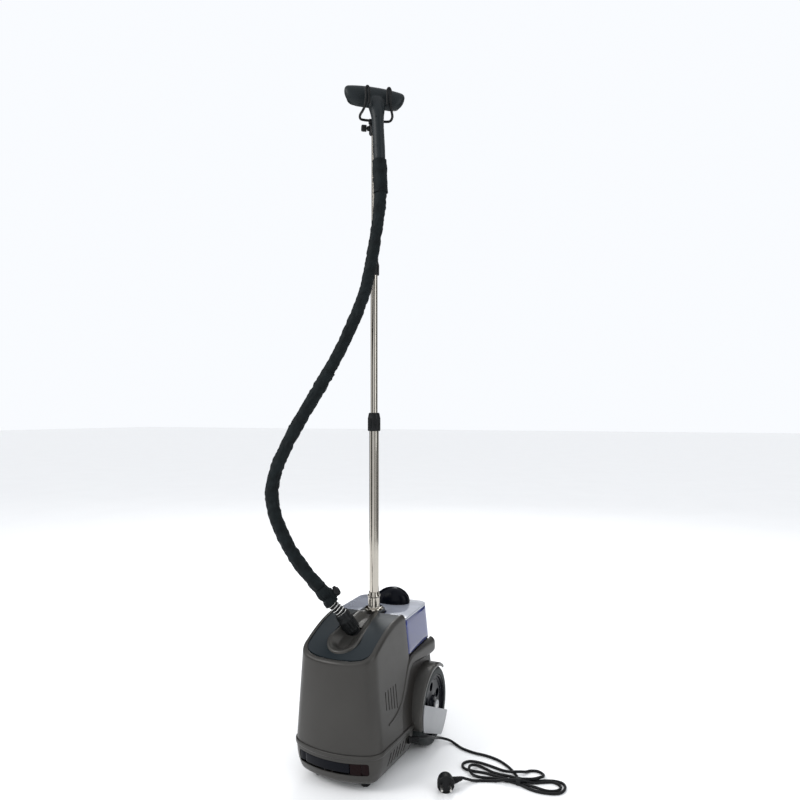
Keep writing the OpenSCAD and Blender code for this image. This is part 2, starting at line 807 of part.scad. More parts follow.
tank_front = bay_front + shell_t + slide_gap;
module notch(grow) {
    hull() {
        translate([0, mast_y]) circle(d = notch_d + 2 * grow, $fn = 32);
        translate([0, tank_front - notch_d]) circle(d = notch_d + 2 * grow, $fn = 32);
    }
}
module tank_zone(low, high, inset, front_inset) {
    intersection() {
        body_solid([[low, inset], [high, inset]]);
        translate([-far, tank_front + front_inset, low - 1]) cube([2 * far, far, high - low + 2]);
    }
}
module tank_body() {
    top = tank_top_h - 5;
    color(tank_blue) difference() {
        tank_zone(tank_floor_h, top, 0.5, 0);
        difference() {
            tank_zone(tank_floor_h + tank_t, top + 1, 0.5 + tank_t, tank_t);
            linear_extrude(far) notch(tank_t);
        }
        linear_extrude(far) notch(0);
        translate([0, valve_y, tank_floor_h - 1]) cylinder(h = 10, d = 36 + 2 * run_fit);
    }
}
module tank_top() {
    color([0.72, 0.74, 0.80]) difference() {
        union() {
            tank_zone(tank_top_h - 4.8, tank_top_h, 0.5, 0);
            difference() {
                tank_zone(tank_top_h - 9, tank_top_h - 4, 0.5 + tank_t + gap, tank_t + gap);
                tank_zone(tank_top_h - 10, tank_top_h - 3, 2.5 + tank_t + gap, 2 + tank_t + gap);
            }
        }
        linear_extrude(far) notch(0);
        difference() {
            linear_extrude(tank_top_h - 4.8) notch(tank_t + gap);
        }
    }
}
module tank_grip() {
    y = mast_y + 93;
    color(jet) hull() {
        translate([8, y, tank_top_h + 0.2]) scale([grip_l / 60, 1, 1]) cylinder(h = 1, d = 60, $fn = 32);
        translate([10, y, tank_top_h + grip_h * 0.45])
            scale([grip_l * 0.84 / 50, 1, 1]) cylinder(h = 1, d = 50, $fn = 32);
        translate([14, y, tank_top_h + grip_h * 0.8])
            scale([grip_l * 0.5 / 34, 1, 1]) cylinder(h = 1, d = 34, $fn = 32);
        translate([16, y, tank_top_h + grip_h - 1])
            scale([grip_l * 0.22 / 16, 1, 1]) cylinder(h = 1, d = 16, $fn = 32);
    }
}
module valve_cap() {
    color(jet) translate([0, valve_y, 0]) difference() {
        union() {
            translate([0, 0, tank_floor_h - 10]) cylinder(h = 10 - gap, d = 46);
            translate([0, 0, tank_floor_h - gap - eps]) cylinder(h = 8, d = 36);
        }
        translate([0, 0, tank_floor_h - 7]) cylinder(h = far, d = 28);
        translate([0, 0, tank_floor_h - 11]) cylinder(h = far, d = 9);
    }
}
module valve_pin() {
    color(chrome_grey) translate([0, valve_y, 0]) {
        translate([0, 0, tank_floor_h - 14]) cylinder(h = 18, d = 6);
        translate([0, 0, tank_floor_h - 6.8]) cylinder(h = 2, d = 16);
    }
}
module valve_spring() {
    color(chrome_grey) translate([0, valve_y, tank_floor_h - 4.6]) ring(14, 12, 8);
}

// ---- Mast ----

module mast_socket() {
    color(chrome_grey) translate([0, mast_y, 0]) difference() {
        union() {
            translate([0, 0, socket_foot]) cylinder(h = deck_h - socket_foot, d = socket_d);
            translate([0, 0, deck_h - panel_drop]) cylinder(h = 5, d = socket_flange_d);
            translate([0, 0, deck_h]) cylinder(h = socket_top - deck_h, d = socket_d);
            translate([0, 0, socket_top - 4]) cylinder(h = 4, d = socket_d + 2);
            translate([0, 0, socket_top - eps]) cylinder(h = 8, d = lower_d + 4);
        }
        translate([0, 0, lower_foot]) cylinder(h = far, d = lower_d + 2 * run_fit);
        translate([0, 0, socket_foot - 1]) cylinder(h = far, d = lower_d - 4);
    }
}
module pipe(d, low, high) {
    translate([0, mast_y, low]) ring(d, d - 2 * tube_t, high - low);
}
module lower_tube() {
    color(chrome_grey) pipe(lower_d, lower_foot + 3, lower_top_h);
}
module mid_tube() {
    color(chrome_grey) pipe(mid_d, lower_top_h - mid_overlap, mid_top_h);
}
module upper_tube() {
    color(chrome_grey) {
        pipe(upper_d, mid_top_h - upper_overlap, upper_top_h);
        translate([0, mast_y, upper_top_h]) cylinder(h = 3, d = upper_d);
    }
}
module bush(tube_d, slider_d, top) {
    translate([0, mast_y, 0]) difference() {
        union() {
            translate([0, 0, top - bush_l]) cylinder(h = bush_l, d = tube_d - 2 * tube_t);
            translate([0, 0, top]) cylinder(h = 1.5, d = tube_d);
        }
        translate([0, 0, top - bush_l - 1]) cylinder(h = far, d = slider_d + 2 * run_fit);
    }
}
module lower_bush() {
    color(jet) bush(lower_d, mid_d, lower_top_h);
}
module upper_bush() {
    color(jet) bush(mid_d, upper_d, mid_top_h);
}
module lock_barrel(d, tube_d, slider_d, top) {
    ribs = 16;
    skirt_h = lock_skirt * d / lower_lock_d;
    lip_h = lock_lip * d / lower_lock_d;
    translate([0, mast_y, 0]) difference() {
        union() {
            translate([0, 0, top - skirt_h]) cylinder(h = 3, d1 = d - 4, d2 = d);
            translate([0, 0, top - skirt_h + 3]) cylinder(h = skirt_h - 3, d = d);
            translate([0, 0, top]) cylinder(h = lip_h, d1 = d, d2 = d - 6);
        }
        translate([0, 0, top - skirt_h - 1]) cylinder(h = skirt_h + 3, d = tube_d + 2 * run_fit);
        translate([0, 0, top]) cylinder(h = far, d = slider_d + 2 * slide_gap);
        for (i = [0:ribs - 1]) rotate(360 * i / ribs)
            translate([d / 2 + 0.4, 0, top - skirt_h + 7]) cylinder(h = skirt_h - 7, d = 2.4);
    }
}
module lower_lock() {
    color(jet) lock_barrel(lower_lock_d, lower_d, mid_d, lower_top_h);
}
module upper_lock() {
    color(jet) lock_barrel(upper_lock_d, mid_d, upper_d, mid_top_h);
}

// ---- Holder and handset: drawn about the mast, front towards -Y, then turned ----

module at_holder() {
    translate([0, mast_y, 0]) rotate(holder_turn) children();
}
collar_low = upper_top_h - 42;
collar_high = upper_top_h - 8;
knob_h = collar_low + 14;
module holder_collar() {
    color(jet) at_holder() difference() {
        union() {
            translate([0, 0, collar_low]) cylinder(h = collar_high - collar_low, d = 25);
            translate([-17, 0, knob_h]) rotate([0, 90, 0]) cylinder(h = 12, d = 12);
            translate([-15, -20.5, collar_high - 12.5]) cube([30, 20.5, 8]);
        }
        translate([0, 0, collar_low - 1]) cylinder(h = far, d = upper_d);
        translate([-18, 0, knob_h]) rotate([0, 90, 0]) cylinder(h = 14, d = 6 + 2 * run_fit);
    }
}
function hook_route(s) = let (z = upper_top_h) [
    [s * 13, -17, z - 16], [s * 28, -17, z - 16], [s * 37, -24, z - 15], [s * 38, -40, z - 14],
    [s * 34, -56, z - 12], [s * 30, -66, z - 4], [s * 29, -70, z + 14], [s * 29.5, -71, z + 31],
    [s * 25.5, -71, z + 39], [s * 21.5, -71, z + 31], [s * 21.5, -70, z + 14], [s * 22, -69, z - 2]
];
module holder_hooks() {
    color(jet) at_holder() for (s = [-1, 1]) tube(curve(hook_route(s), 3), wire_d, 10, [0, 0, 1]);
}
module clamp_knob() {
    color(jet) at_holder() translate([-17.5, 0, knob_h]) rotate([0, -90, 0]) {
        translate([0, 0, 1]) cylinder(h = 13, d = 16, $fn = 8);
        translate([0, 0, -10.5]) cylinder(h = 12, d = 6);
    }
}

// The handset hangs a little to the left, and its handle leans back to the right
handset_lean = 2.5;
handset_shift = 2.3;
head_shift = 3;
head_tilt = 6.2;
module at_handset() {
    at_holder() translate([-handset_shift, 0, head_mid_h]) rotate([0, -handset_lean, 0])
        translate([0, 0, -head_mid_h]) children();
}
module at_head() {
    at_handset() translate([-head_shift, 0, head_mid_h]) rotate([0, head_tilt, 0])
        translate([0, 0, -head_mid_h]) children();
}
module neck(grow) {
    hull() {
        translate([0, -handle_reach, handle_top - 20]) cylinder(h = 2, d = handle_d + grow, $fn = 32);
        translate([0, -handle_reach + 8, handle_top + 20])
            cylinder(h = 2 + grow, d = handle_d - 4 + grow, $fn = 32);
    }
}
module handle() {
    color(slate) at_handset() difference() {
        union() {
            hull() {
                translate([0, -handle_reach, handle_foot]) cylinder(h = 2, d = handle_d - 3, $fn = 32);
                translate([0, -handle_reach, handle_foot + 30]) cylinder(h = 2, d = handle_d, $fn = 32);
                translate([0, -handle_reach, handle_top - 20]) cylinder(h = 2, d = handle_d, $fn = 32);
            }
            neck(0);
        }
        translate([0, -handle_reach, handle_foot - 1]) cylinder(h = 106, d = sleeve_d - 6);
    }
}
module handle_cuff() {
    color(cloth) at_handset() translate([0, -handle_reach, 0]) difference() {
        union() {
            translate([0, 0, handle_foot - 76]) cylinder(h = 8, d1 = sleeve_d + 3, d2 = sleeve_d + 6);
            translate([0, 0, handle_foot - 68]) cylinder(h = 67.8, d = sleeve_d + 5);
        }
        translate([0, 0, handle_foot - 80]) cylinder(h = 79, d = sleeve_d + 3);
    }
}
module head_shell() {
    color(slate) difference() {
        at_head() hull() for (s = [-1, 1]) {
            translate([s * (head_l / 2 - 22), head_mid_y, head_mid_h - 2])
                scale([1, head_t / 44, head_h / 44]) sphere(d = 44, $fn = 24);
            translate([s * 20, head_mid_y + 2, head_mid_h + 3])
                scale([1, head_t / 46, 1]) sphere(d = 46, $fn = 24);
        }
        at_head() translate([-far, head_mid_y + head_t / 2 - 5, 0]) cube([2 * far, far, tall]);
        // Seat of the handle's neck
        at_handset() neck(0.4);
    }
}
module steam_plate() {
    color(chrome_grey) at_head() difference() {
        intersection() {
            hull() for (s = [-1, 1])
                translate([s * (head_l / 2 - 24), head_mid_y, head_mid_h])
                    rotate([-90, 0, 0]) cylinder(h = head_t / 2 - 2, d = head_h - 12, $fn = 32);
            translate([-far, head_mid_y + head_t / 2 - 4.8, 0]) cube([2 * far, 3, tall]);
        }
        for (i = [-4:4], k = [-1, 1]) translate([12 * i, head_mid_y, head_mid_h + 8 * k])
            rotate([-90, 0, 0]) cylinder(h = far, d = 4, $fn = 16);
    }
}

// ---- Mains cord ----

module cord_gland() {
    color(jet) translate([cord_route[0].x, cord_route[0].y, cord_route[0].z]) rotate([0, 90, 45])
        translate([0, 0, -26]) {
            cylinder(h = 26, d1 = 13, d2 = cord_d + 2);
            translate([0, 0, -1]) cylinder(h = 5, d = 17);
        }
}
module power_cord() {
    color(jet) {
        tube(curve(cord_route, 2), cord_d, 8, [0, 0, 1]);
        tube(curve(plug_lead, 2), cord_d, 8, [0, 0, 1]);
    }
}
module cord_bundle() {
    color(jet) linear_extrude(bundle_h) polygon(bundle_outline);
}
plug_body_l = 28;
module at_plug() {
    translate(plug_at) rotate(plug_turn) children();
}
module plug() {
    color(jet) at_plug() {
        rotate([90, 0, 0]) translate([0, 0, -plug_body_l / 2])
            cylinder(h = plug_body_l, d1 = plug_d - 5, d2 = plug_d);
        translate([8, 8, -3.5]) rotate([0, 90, 22]) cylinder(h = 26, d1 = 16, d2 = 9);
    }
}
module plug_pins() {
    pin_gap = 19;
    color(chrome_grey) at_plug() for (s = [-1, 1])
        translate([s * pin_gap / 2, -plug_body_l / 2, 0]) rotate([90, 0, 0])
            cylinder(h = 19, d = 4.8);
}

base_tray();
skirt_band();
front_shell();
rear_housing();
side_trims();
vent_screens();
top_panel();
outlet_bezel();
tank_bay();
foot_pedal();
pedal_spring();
indicator_lens();
front_feet();
drain_plug();
fenders();
wheel_guards();
axle();
tyre_left();
tyre_right();
wheel_disc_left();
wheel_disc_right();
boiler();
heating_element();
water_pipe();
steam_pipe();
control_board();
outlet_spigot();
connector_nut();
hose_stub();
sleeve_hem();
cord_lock();
lock_button();
sleeve_lower();
sleeve_upper();
tank_body();
tank_top();
tank_grip();
valve_cap();
valve_pin();
valve_spring();
mast_socket();
lower_tube();
lower_lock();
lower_bush();
mid_tube();
upper_lock();
upper_bush();
upper_tube();
holder_collar();
holder_hooks();
clamp_knob();
handle();
handle_cuff();
head_shell();
steam_plate();
cord_gland();
power_cord();
cord_bundle();
plug();
plug_pins();
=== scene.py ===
"""Upright garment steamer: wheeled base, lift-out water tank, telescopic mast, handset and sleeved hose."""
import json
import math

import bpy
from mathutils import Matrix, Vector, noise


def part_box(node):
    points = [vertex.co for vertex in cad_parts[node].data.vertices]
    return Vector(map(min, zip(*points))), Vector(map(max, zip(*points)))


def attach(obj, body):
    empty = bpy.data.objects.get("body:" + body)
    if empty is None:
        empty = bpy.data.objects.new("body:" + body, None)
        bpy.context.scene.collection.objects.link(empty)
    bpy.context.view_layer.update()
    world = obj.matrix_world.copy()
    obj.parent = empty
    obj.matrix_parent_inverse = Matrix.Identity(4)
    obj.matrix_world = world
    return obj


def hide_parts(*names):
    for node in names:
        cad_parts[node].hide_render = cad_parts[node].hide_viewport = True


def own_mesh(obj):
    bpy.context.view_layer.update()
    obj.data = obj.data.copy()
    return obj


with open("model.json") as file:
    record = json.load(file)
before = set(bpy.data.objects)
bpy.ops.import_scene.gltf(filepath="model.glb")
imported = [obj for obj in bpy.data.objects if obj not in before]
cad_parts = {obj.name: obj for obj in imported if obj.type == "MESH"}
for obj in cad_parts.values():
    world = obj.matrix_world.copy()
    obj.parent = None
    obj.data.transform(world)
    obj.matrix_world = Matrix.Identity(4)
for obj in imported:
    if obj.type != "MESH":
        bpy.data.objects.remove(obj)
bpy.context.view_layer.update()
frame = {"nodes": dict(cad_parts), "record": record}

MM = 0.001
FULL_TURN = 2 * math.pi


def arc(radius, middle_y, start, end, steps):
    """Points of (x, y) round a centre on the middle line, from one angle to another."""
    angles = [start + (end - start) * k / steps for k in range(steps + 1)]
    return [(radius * math.cos(a), middle_y + radius * math.sin(a)) for a in angles]


def mm(*values):
    return Vector([v * MM for v in values])


def turns(count):
    """Evenly spaced angles round a full turn."""
    return [FULL_TURN * k / count for k in range(count)]


def tilted(lean, way):
    """The direction that leans from straight up, in degrees, towards a bearing."""
    lean, way = math.radians(lean), math.radians(way)
    return Vector((math.sin(lean) * math.cos(way), math.sin(lean) * math.sin(way), math.cos(lean)))


def middle(node):
    low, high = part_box(node)
    return (low + high) / 2


# ---- Camera, floor and lights ----

CAMERA_TURN = math.radians(22.68)


def set_camera():
    data = bpy.data.cameras.new("camera")
    data.sensor_width = 36
    data.lens = 28.56
    data.shift_y = 0.018
    camera = bpy.data.objects.new("camera", data)
    camera.location = (0.658, -1.371, 0.805)
    camera.rotation_euler = (math.pi / 2, 0, CAMERA_TURN)
    bpy.context.scene.collection.objects.link(camera)
    bpy.context.scene.camera = camera


def softbox(name, place, target, size, power, tint=(1, 1, 1)):
    data = bpy.data.lights.new(name, "AREA")
    data.shape = "RECTANGLE"
    data.size, data.size_y = size
    data.energy = power
    data.color = tint
    lamp = bpy.data.objects.new(name, data)
    lamp.location = place
    lamp.rotation_euler = (Vector(target) - Vector(place)).to_track_quat("-Z", "Y").to_euler()
    bpy.context.scene.collection.objects.link(lamp)


def flag(name, bearing, spread, tint):
    """A tall card round the mast that only shiny surfaces see, at a bearing from the camera's side."""
    reach = 2.4
    turn = CAMERA_TURN - math.pi / 2 + math.radians(bearing)
    deselect()
    bpy.ops.mesh.primitive_plane_add(size=1, rotation=(math.pi / 2, 0, turn + math.pi / 2),
                                     location=(reach * math.cos(turn), reach * math.sin(turn), 1.0))
    card = bpy.context.object
    card.name = name
    card.scale = (2 * reach * math.tan(math.radians(spread) / 2), 3.6, 1)
    for sight in ("camera", "diffuse", "shadow", "transmission"):
        setattr(card, "visible_" + sight, False)
    paint, _ = new_finish(name + "_card", tint, 1.0, Specular_IOR_Level=0)
    card.data.materials.append(paint)


def set_studio():
    deselect()
    bpy.ops.mesh.primitive_plane_add(size=60)
    floor = bpy.context.object
    floor.name = "floor"
    paint, shader = new_finish("floor_paint", (0.90, 0.90, 0.90), 0.75)
    mottle(paint, shader, (0.895, 0.895, 0.895), (0.91, 0.91, 0.91), 3)
    floor.data.materials.append(paint)
    world = bpy.data.worlds.new("studio_air")
    world.use_nodes = True
    world.node_tree.nodes["Background"].inputs["Color"].default_value = (0.95, 0.97, 1, 1)
    world.node_tree.nodes["Background"].inputs["Strength"].default_value = 1.0
    bpy.context.scene.world = world
    bpy.context.scene.view_settings.view_transform = "Standard"
    heart = (0, 0, 0.5)
    softbox("key_light", (-1.9, -2.2, 2.4), heart, (1.4, 1.4), 60)
    softbox("side_light", (2.6, -0.4, 1.5), heart, (1.0, 2.0), 14, (0.93, 0.97, 1))
    softbox("back_light", (-0.6, 2.6, 2.4), heart, (2.0, 1.0), 36)
    for name, bearing, spread, tint in (
            ("left_edge_flag", -150, 56, (0.02, 0.018, 0.015)),
            ("left_flag", -62, 34, (0.02, 0.016, 0.012)),
            ("middle_flag", 24, 20, (0.05, 0.04, 0.03)),
            ("right_flag", 84, 44, (0.02, 0.016, 0.012)),
            ("right_edge_flag", 150, 40, (0.02, 0.018, 0.015))):
        flag(name, bearing, spread, tint)


# ---- Tools for making pieces ----

def deselect():
    if bpy.context.object and bpy.context.object.mode != "OBJECT":
        bpy.ops.object.mode_set(mode="OBJECT")
    bpy.ops.object.select_all(action="DESELECT")


def pick(obj):
    deselect()
    obj.select_set(True)
    bpy.context.view_layer.objects.active = obj


def settle(obj, name):
    """Moves an object's place, turn and size into its mesh."""
    pick(obj)
    bpy.ops.object.transform_apply(location=True, rotation=True, scale=True)
    obj.name = name
    obj.data.name = name
    return obj


def modify(obj, kind, **settings):
    pick(obj)
    modifier = obj.modifiers.new(kind.lower(), kind)
    for key, value in settings.items():
        setattr(modifier, key, value)
    bpy.ops.object.modifier_apply(modifier=modifier.name)
    return obj


def soften(obj, width, segments=3, angle=35):
    """Rounds the sharp edges."""
    return modify(obj, "BEVEL", width=width, segments=segments, limit_method="ANGLE",
                  angle_limit=math.radians(angle), use_clamp_overlap=True)


def thicken(obj, depth):
    """Gives a skin its wall, inwards."""
    return modify(obj, "SOLIDIFY", thickness=depth, offset=-1, use_even_offset=True)


def combine(obj, tool, operation):
    modify(obj, "BOOLEAN", operation=operation, object=tool, solver="EXACT")
    bpy.data.objects.remove(tool)
    return obj


def cut(obj, *tools):
    for tool in tools:
        combine(obj, tool, "DIFFERENCE")
    return obj


def join(name, *pieces):
    deselect()
    for piece in pieces:
        piece.select_set(True)
    bpy.context.view_layer.objects.active = pieces[0]
    bpy.ops.object.join()
    pieces[0].name = name
    pieces[0].data.name = name
    return pieces[0]


def face_outwards(obj):
    pick(obj)
    bpy.ops.object.mode_set(mode="EDIT")
    bpy.ops.mesh.select_all(action="SELECT")
    bpy.ops.mesh.remove_doubles(threshold=1e-6)
    bpy.ops.mesh.normals_make_consistent(inside=False)
    bpy.ops.object.mode_set(mode="OBJECT")
    return obj


def loft(name, rings, wrap=True, low_cap=False, high_cap=False):
    """A skin through rings of equally many points, for curved walls that no primitive gives."""
    n = len(rings[0])
    across = n if wrap else n - 1
    faces = [(a * n + i, a * n + (i + 1) % n, (a + 1) * n + (i + 1) % n, (a + 1) * n + i)
             for a in range(len(rings) - 1) for i in range(across)]
    if low_cap:
        faces.append(tuple(reversed(range(n))))
    if high_cap:
        faces.append(tuple((len(rings) - 1) * n + i for i in range(n)))
    mesh = bpy.data.meshes.new(name)
    mesh.from_pydata([p for ring in rings for p in ring], [], faces)
    obj = bpy.data.objects.new(name, mesh)
    bpy.context.scene.collection.objects.link(obj)
    return face_outwards(obj)


def solid(name, rings):
    """A closed solid through rings of equally many points."""
    return loft(name, rings, low_cap=True, high_cap=True)


def level(outline, z):
    return [Vector((x, y, z)) for x, y in outline]


def block(low, high, turn=(0, 0, 0)):
    low, high = Vector(low), Vector(high)
    deselect()
    bpy.ops.mesh.primitive_cube_add(size=1, location=(low + high) / 2, rotation=turn)
    bpy.context.object.scale = high - low
    return settle(bpy.context.object, "block")


def drum(radius, start, end, sides=64):
    """A cylinder between two points."""
    start, end = Vector(start), Vector(end)
    deselect()
    bpy.ops.mesh.primitive_cylinder_add(vertices=sides, radius=radius, depth=(end - start).length,
                                        location=(start + end) / 2)
    bpy.context.object.rotation_euler = (end - start).to_track_quat("Z", "Y").to_euler()
    return settle(bpy.context.object, "drum")


def turned(name, profile, sides=64, closed=False):
    """One point extruded along a profile of (radius, height) in mm, then spun about the Z axis."""
    steps = [(r * MM, z * MM) for r, z in profile]
    (r0, z0) = steps[0]
    if closed:
        steps.append(steps[0])
    deselect()
    bpy.ops.mesh.primitive_plane_add(size=MM, location=(r0, 0, z0))
    obj = bpy.context.object
    bpy.ops.object.mode_set(mode="EDIT")
    bpy.ops.mesh.select_all(action="SELECT")
    bpy.ops.mesh.merge(type="CENTER")
    for (ra, za), (rb, zb) in zip(steps, steps[1:]):
        bpy.ops.mesh.extrude_region_move(TRANSFORM_OT_translate={"value": (rb - ra, 0, zb - za)})
    bpy.ops.mesh.select_all(action="SELECT")
    bpy.ops.mesh.spin(steps=sides, angle=FULL_TURN, axis=(0, 0, 1), center=(0, 0, 0))
    bpy.ops.object.mode_set(mode="OBJECT")
    settle(obj, name)
    return face_outwards(obj)


def stand(obj, place, direction=(0, 0, 1)):
    """Moves a piece made at the origin along +Z to its place and direction."""
    obj.rotation_euler = Vector(direction).to_track_quat("Z", "Y").to_euler()
    obj.location = place
    return settle(obj, obj.name)


def fluted(name, profile, flutes, sides=96, bore=None):
    """A ring-lofted piece about Z. Each profile step is (radius, height, flute depth) in mm."""
    steps = list(profile)
    if bore:
        steps += [(bore, profile[-1][1], 0), (bore, profile[0][1], 0)]
    rings = []
    for radius, height, depth in steps:
        ring = []
        for a in turns(sides):
            r = radius * MM - depth * MM * max(0, math.cos(flutes * a)) ** 1.5
            ring.append(Vector((r * math.cos(a), r * math.sin(a), height * MM)))
        rings.append(ring)
    if bore:
        return loft(name, rings + rings[:1])
    return solid(name, rings)


def smooth_path(points, step):
    """Even steps along a smooth curve through the points."""
    fine = []
    last = len(points) - 1
    for i in range(last):
        a, b = points[max(i - 1, 0)], points[i]
        c, d = points[i + 1], points[min(i + 2, last)]
        for k in range(24):
            t = k / 24
            fine.append(0.5 * (2 * b + (c - a) * t + (2 * a - 5 * b + 4 * c - d) * t * t
                               + (3 * b - a - 3 * c + d) * t ** 3))
    fine.append(points[-1])
    total = path_length(fine)
    count = max(2, round(total / step))
    even, run, j = [fine[0]], 0.0, 0
    for k in range(1, count):
        goal = total * k / count
        while run + (fine[j + 1] - fine[j]).length < goal:
            run += (fine[j + 1] - fine[j]).length
            j += 1
        part = (goal - run) / (fine[j + 1] - fine[j]).length
        even.append(fine[j].lerp(fine[j + 1], part))
    even.append(fine[-1])
    return even


def path_length(path):
    return sum((b - a).length for a, b in zip(path, path[1:]))


def sweep(name, path, radius, sides, caps=True):
    """A tube along a path. radius(run, angle) gives its radius; the mesh gets a UV map in metres."""
    side = (path[1] - path[0]).orthogonal().normalized()
    rings, runs, run = [], [], 0.0
    for i, p in enumerate(path):
        along = (path[min(i + 1, len(path) - 1)] - path[max(i - 1, 0)]).normalized()
        side = (side - along * side.dot(along)).normalized()
        other = along.cross(side)
        if i:
            run += (p - path[i - 1]).length
        ring = []
        for a in turns(sides):
            ring.append(p + radius(run, a) * (side * math.cos(a) + other * math.sin(a)))
        rings.append(ring)
        runs.append(run)
    obj = loft(name, rings, low_cap=caps, high_cap=caps)
    add_cloth_map(obj, path, runs)
    return obj


def add_cloth_map(obj, path, runs):
    """A UV map that follows the tube: round it in U, along it in V, both in metres."""
    mesh = obj.data
    layer = mesh.uv_layers.new(name="UVMap")
    sides = len(mesh.vertices) // len(path)
    if sides * len(path) != len(mesh.vertices):
        return
    girth = FULL_TURN * (mesh.vertices[0].co - path[0]).length
    for face in mesh.polygons:
        columns = [mesh.loops[k].vertex_index % sides for k in face.loop_indices]
        wraps = max(columns) - min(columns) > sides // 2
        for k in face.loop_indices:
            row, column = divmod(mesh.loops[k].vertex_index, sides)
            if wraps and column < sides // 2:
                column += sides
            layer.data[k].uv = (girth * column / sides, runs[row])


def finish_piece(obj, body, slot, *nodes, paint=None, angle=38):
    """Smooths, paints and hands a piece to its body, in place of the nodes it stands for."""
    pick(obj)
    bpy.ops.object.shade_smooth_by_angle(angle=math.radians(angle))
    obj.data.materials.clear()
    obj.data.materials.append(paint or FINISH[slot])
    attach(obj, body)
    if nodes:
        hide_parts(*nodes)
    return obj


def finish_pair(name, right, slot, node, angle):
    """Hands over a right-hand piece and its mirror image."""
    right.name = name + "_right"
    left = right.copy()
    left.data = right.data.copy()
    bpy.context.scene.collection.objects.link(left)
    left.scale.x = -1
    settle(left, name + "_left")
    face_outwards(left)
    finish_piece(right, "base", slot, node, angle=angle)
    finish_piece(left, "base", slot, angle=angle)


# ---- Finishes ----

def new_finish(name, colour, roughness, metallic=0.0, **sockets):
    paint = bpy.data.materials.new(name)
    paint.use_nodes = True
    shader = paint.node_tree.nodes["Principled BSDF"]
    shader.inputs["Base Color"].default_value = (*colour, 1)
    shader.inputs["Roughness"].default_value = roughness
    shader.inputs["Metallic"].default_value = metallic
    for socket, value in sockets.items():
        shader.inputs[socket.replace("_", " ")].default_value = value
    return paint, shader


def pattern(paint, kind, scale, stretch=(1, 1, 1), coordinates="Object", **settings):
    """A texture node on object coordinates or on the piece's UV map."""
    nodes, links = paint.node_tree.nodes, paint.node_tree.links
    place = nodes.new("ShaderNodeTexCoord")
    mapping = nodes.new("ShaderNodeMapping")
    mapping.inputs["Scale"].default_value = stretch
    texture = nodes.new("ShaderNodeTex" + kind)
    texture.inputs["Scale"].default_value = scale
    for key, value in settings.items():
        if key in texture.inputs:
            texture.inputs[key].default_value = value
        else:
            setattr(texture, key, value)
    links.new(place.outputs[coordinates], mapping.inputs["Vector"])
    links.new(mapping.outputs["Vector"], texture.inputs["Vector"])
    return texture


def value_of(texture):
    return texture.outputs.get("Fac") or texture.outputs.get("Distance") or texture.outputs[0]


def mottle(paint, shader, dark, light, scale, detail=3):
    """Blends two colours over the surface."""
    nodes, links = paint.node_tree.nodes, paint.node_tree.links
    clouds = pattern(paint, "Noise", scale, Detail=detail)
    ramp = nodes.new("ShaderNodeValToRGB")
    for element, position, colour in zip(ramp.color_ramp.elements, (0.3, 0.7), (dark, light)):
        element.position = position
        element.color = (*colour, 1)
    links.new(value_of(clouds), ramp.inputs["Fac"])
    links.new(ramp.outputs["Color"], shader.inputs["Base Color"])


def vary_roughness(paint, shader, low, high, scale, stretch=(1, 1, 1)):
    nodes, links = paint.node_tree.nodes, paint.node_tree.links
    clouds = pattern(paint, "Noise", scale, stretch, Detail=4)
    spread = nodes.new("ShaderNodeMapRange")
    spread.inputs["To Min"].default_value = low
    spread.inputs["To Max"].default_value = high
    links.new(value_of(clouds), spread.inputs["Value"])
    links.new(spread.outputs["Result"], shader.inputs["Roughness"])


def emboss(paint, shader, texture, depth, strength=0.4):
    """Adds a bump, on top of any that is there."""
    nodes, links = paint.node_tree.nodes, paint.node_tree.links
    bump = nodes.new("ShaderNodeBump")
    bump.inputs["Distance"].default_value = depth
    bump.inputs["Strength"].default_value = strength
    links.new(value_of(texture), bump.inputs["Height"])
    if shader.inputs["Normal"].links:
        links.new(shader.inputs["Normal"].links[0].from_socket, bump.inputs["Normal"])
    links.new(bump.outputs["Normal"], shader.inputs["Normal"])


def moulded(name, colour, roughness, grain, metallic=0.0, specular=0.5, **sockets):
    """Moulded plastic: slight colour drift, uneven gloss and a fine spark-eroded grain."""
    paint, shader = new_finish(name, colour, roughness, metallic, Specular_IOR_Level=specular, **sockets)
    mottle(paint, shader, [c * 0.92 for c in colour], [c * 1.08 for c in colour], 9)
    vary_roughness(paint, shader, roughness * 0.88, roughness * 1.12, 40)
    emboss(paint, shader, pattern(paint, "Noise", 1600, Detail=2), 0.00006, grain)
    return paint


def metal(name, colour, roughness, brushed=(1, 1, 1), scratch=0.05):
    """Bare metal with fine polishing lines."""
    paint, shader = new_finish(name, colour, roughness, 1.0)
    mottle(paint, shader, [c * 0.95 for c in colour], [min(1, c * 1.04) for c in colour], 30)
    vary_roughness(paint, shader, roughness * 0.75, roughness * 1.3, 220, brushed)
    emboss(paint, shader, pattern(paint, "Noise", 900, brushed, Detail=3), 0.00004, scratch)
    return paint


def woven(name, colour, thread):
    """Woven polyester on the UV map: crossing threads, puckers and a soft sheen."""
    paint, shader = new_finish(name, colour, 0.72, 0.0, Sheen_Weight=0.03, Sheen_Roughness=0.4,
                               Specular_IOR_Level=0.14)
    shader.inputs["Sheen Tint"].default_value = (0.55, 0.68, 0.72, 1)
    mottle(paint, shader, [c * 0.7 for c in colour], [c * 1.7 for c in colour], 55, 4)
    vary_roughness(paint, shader, 0.55, 0.8, 90)
    for direction in ("X", "Y"):
        threads = pattern(paint, "Wave", 1 / thread / 6, coordinates="UV", bands_direction=direction)
        emboss(paint, shader, threads, 0.00025, 0.35)
    emboss(paint, shader, pattern(paint, "Noise", 160, Detail=5), 0.0012, 0.5)
    return paint


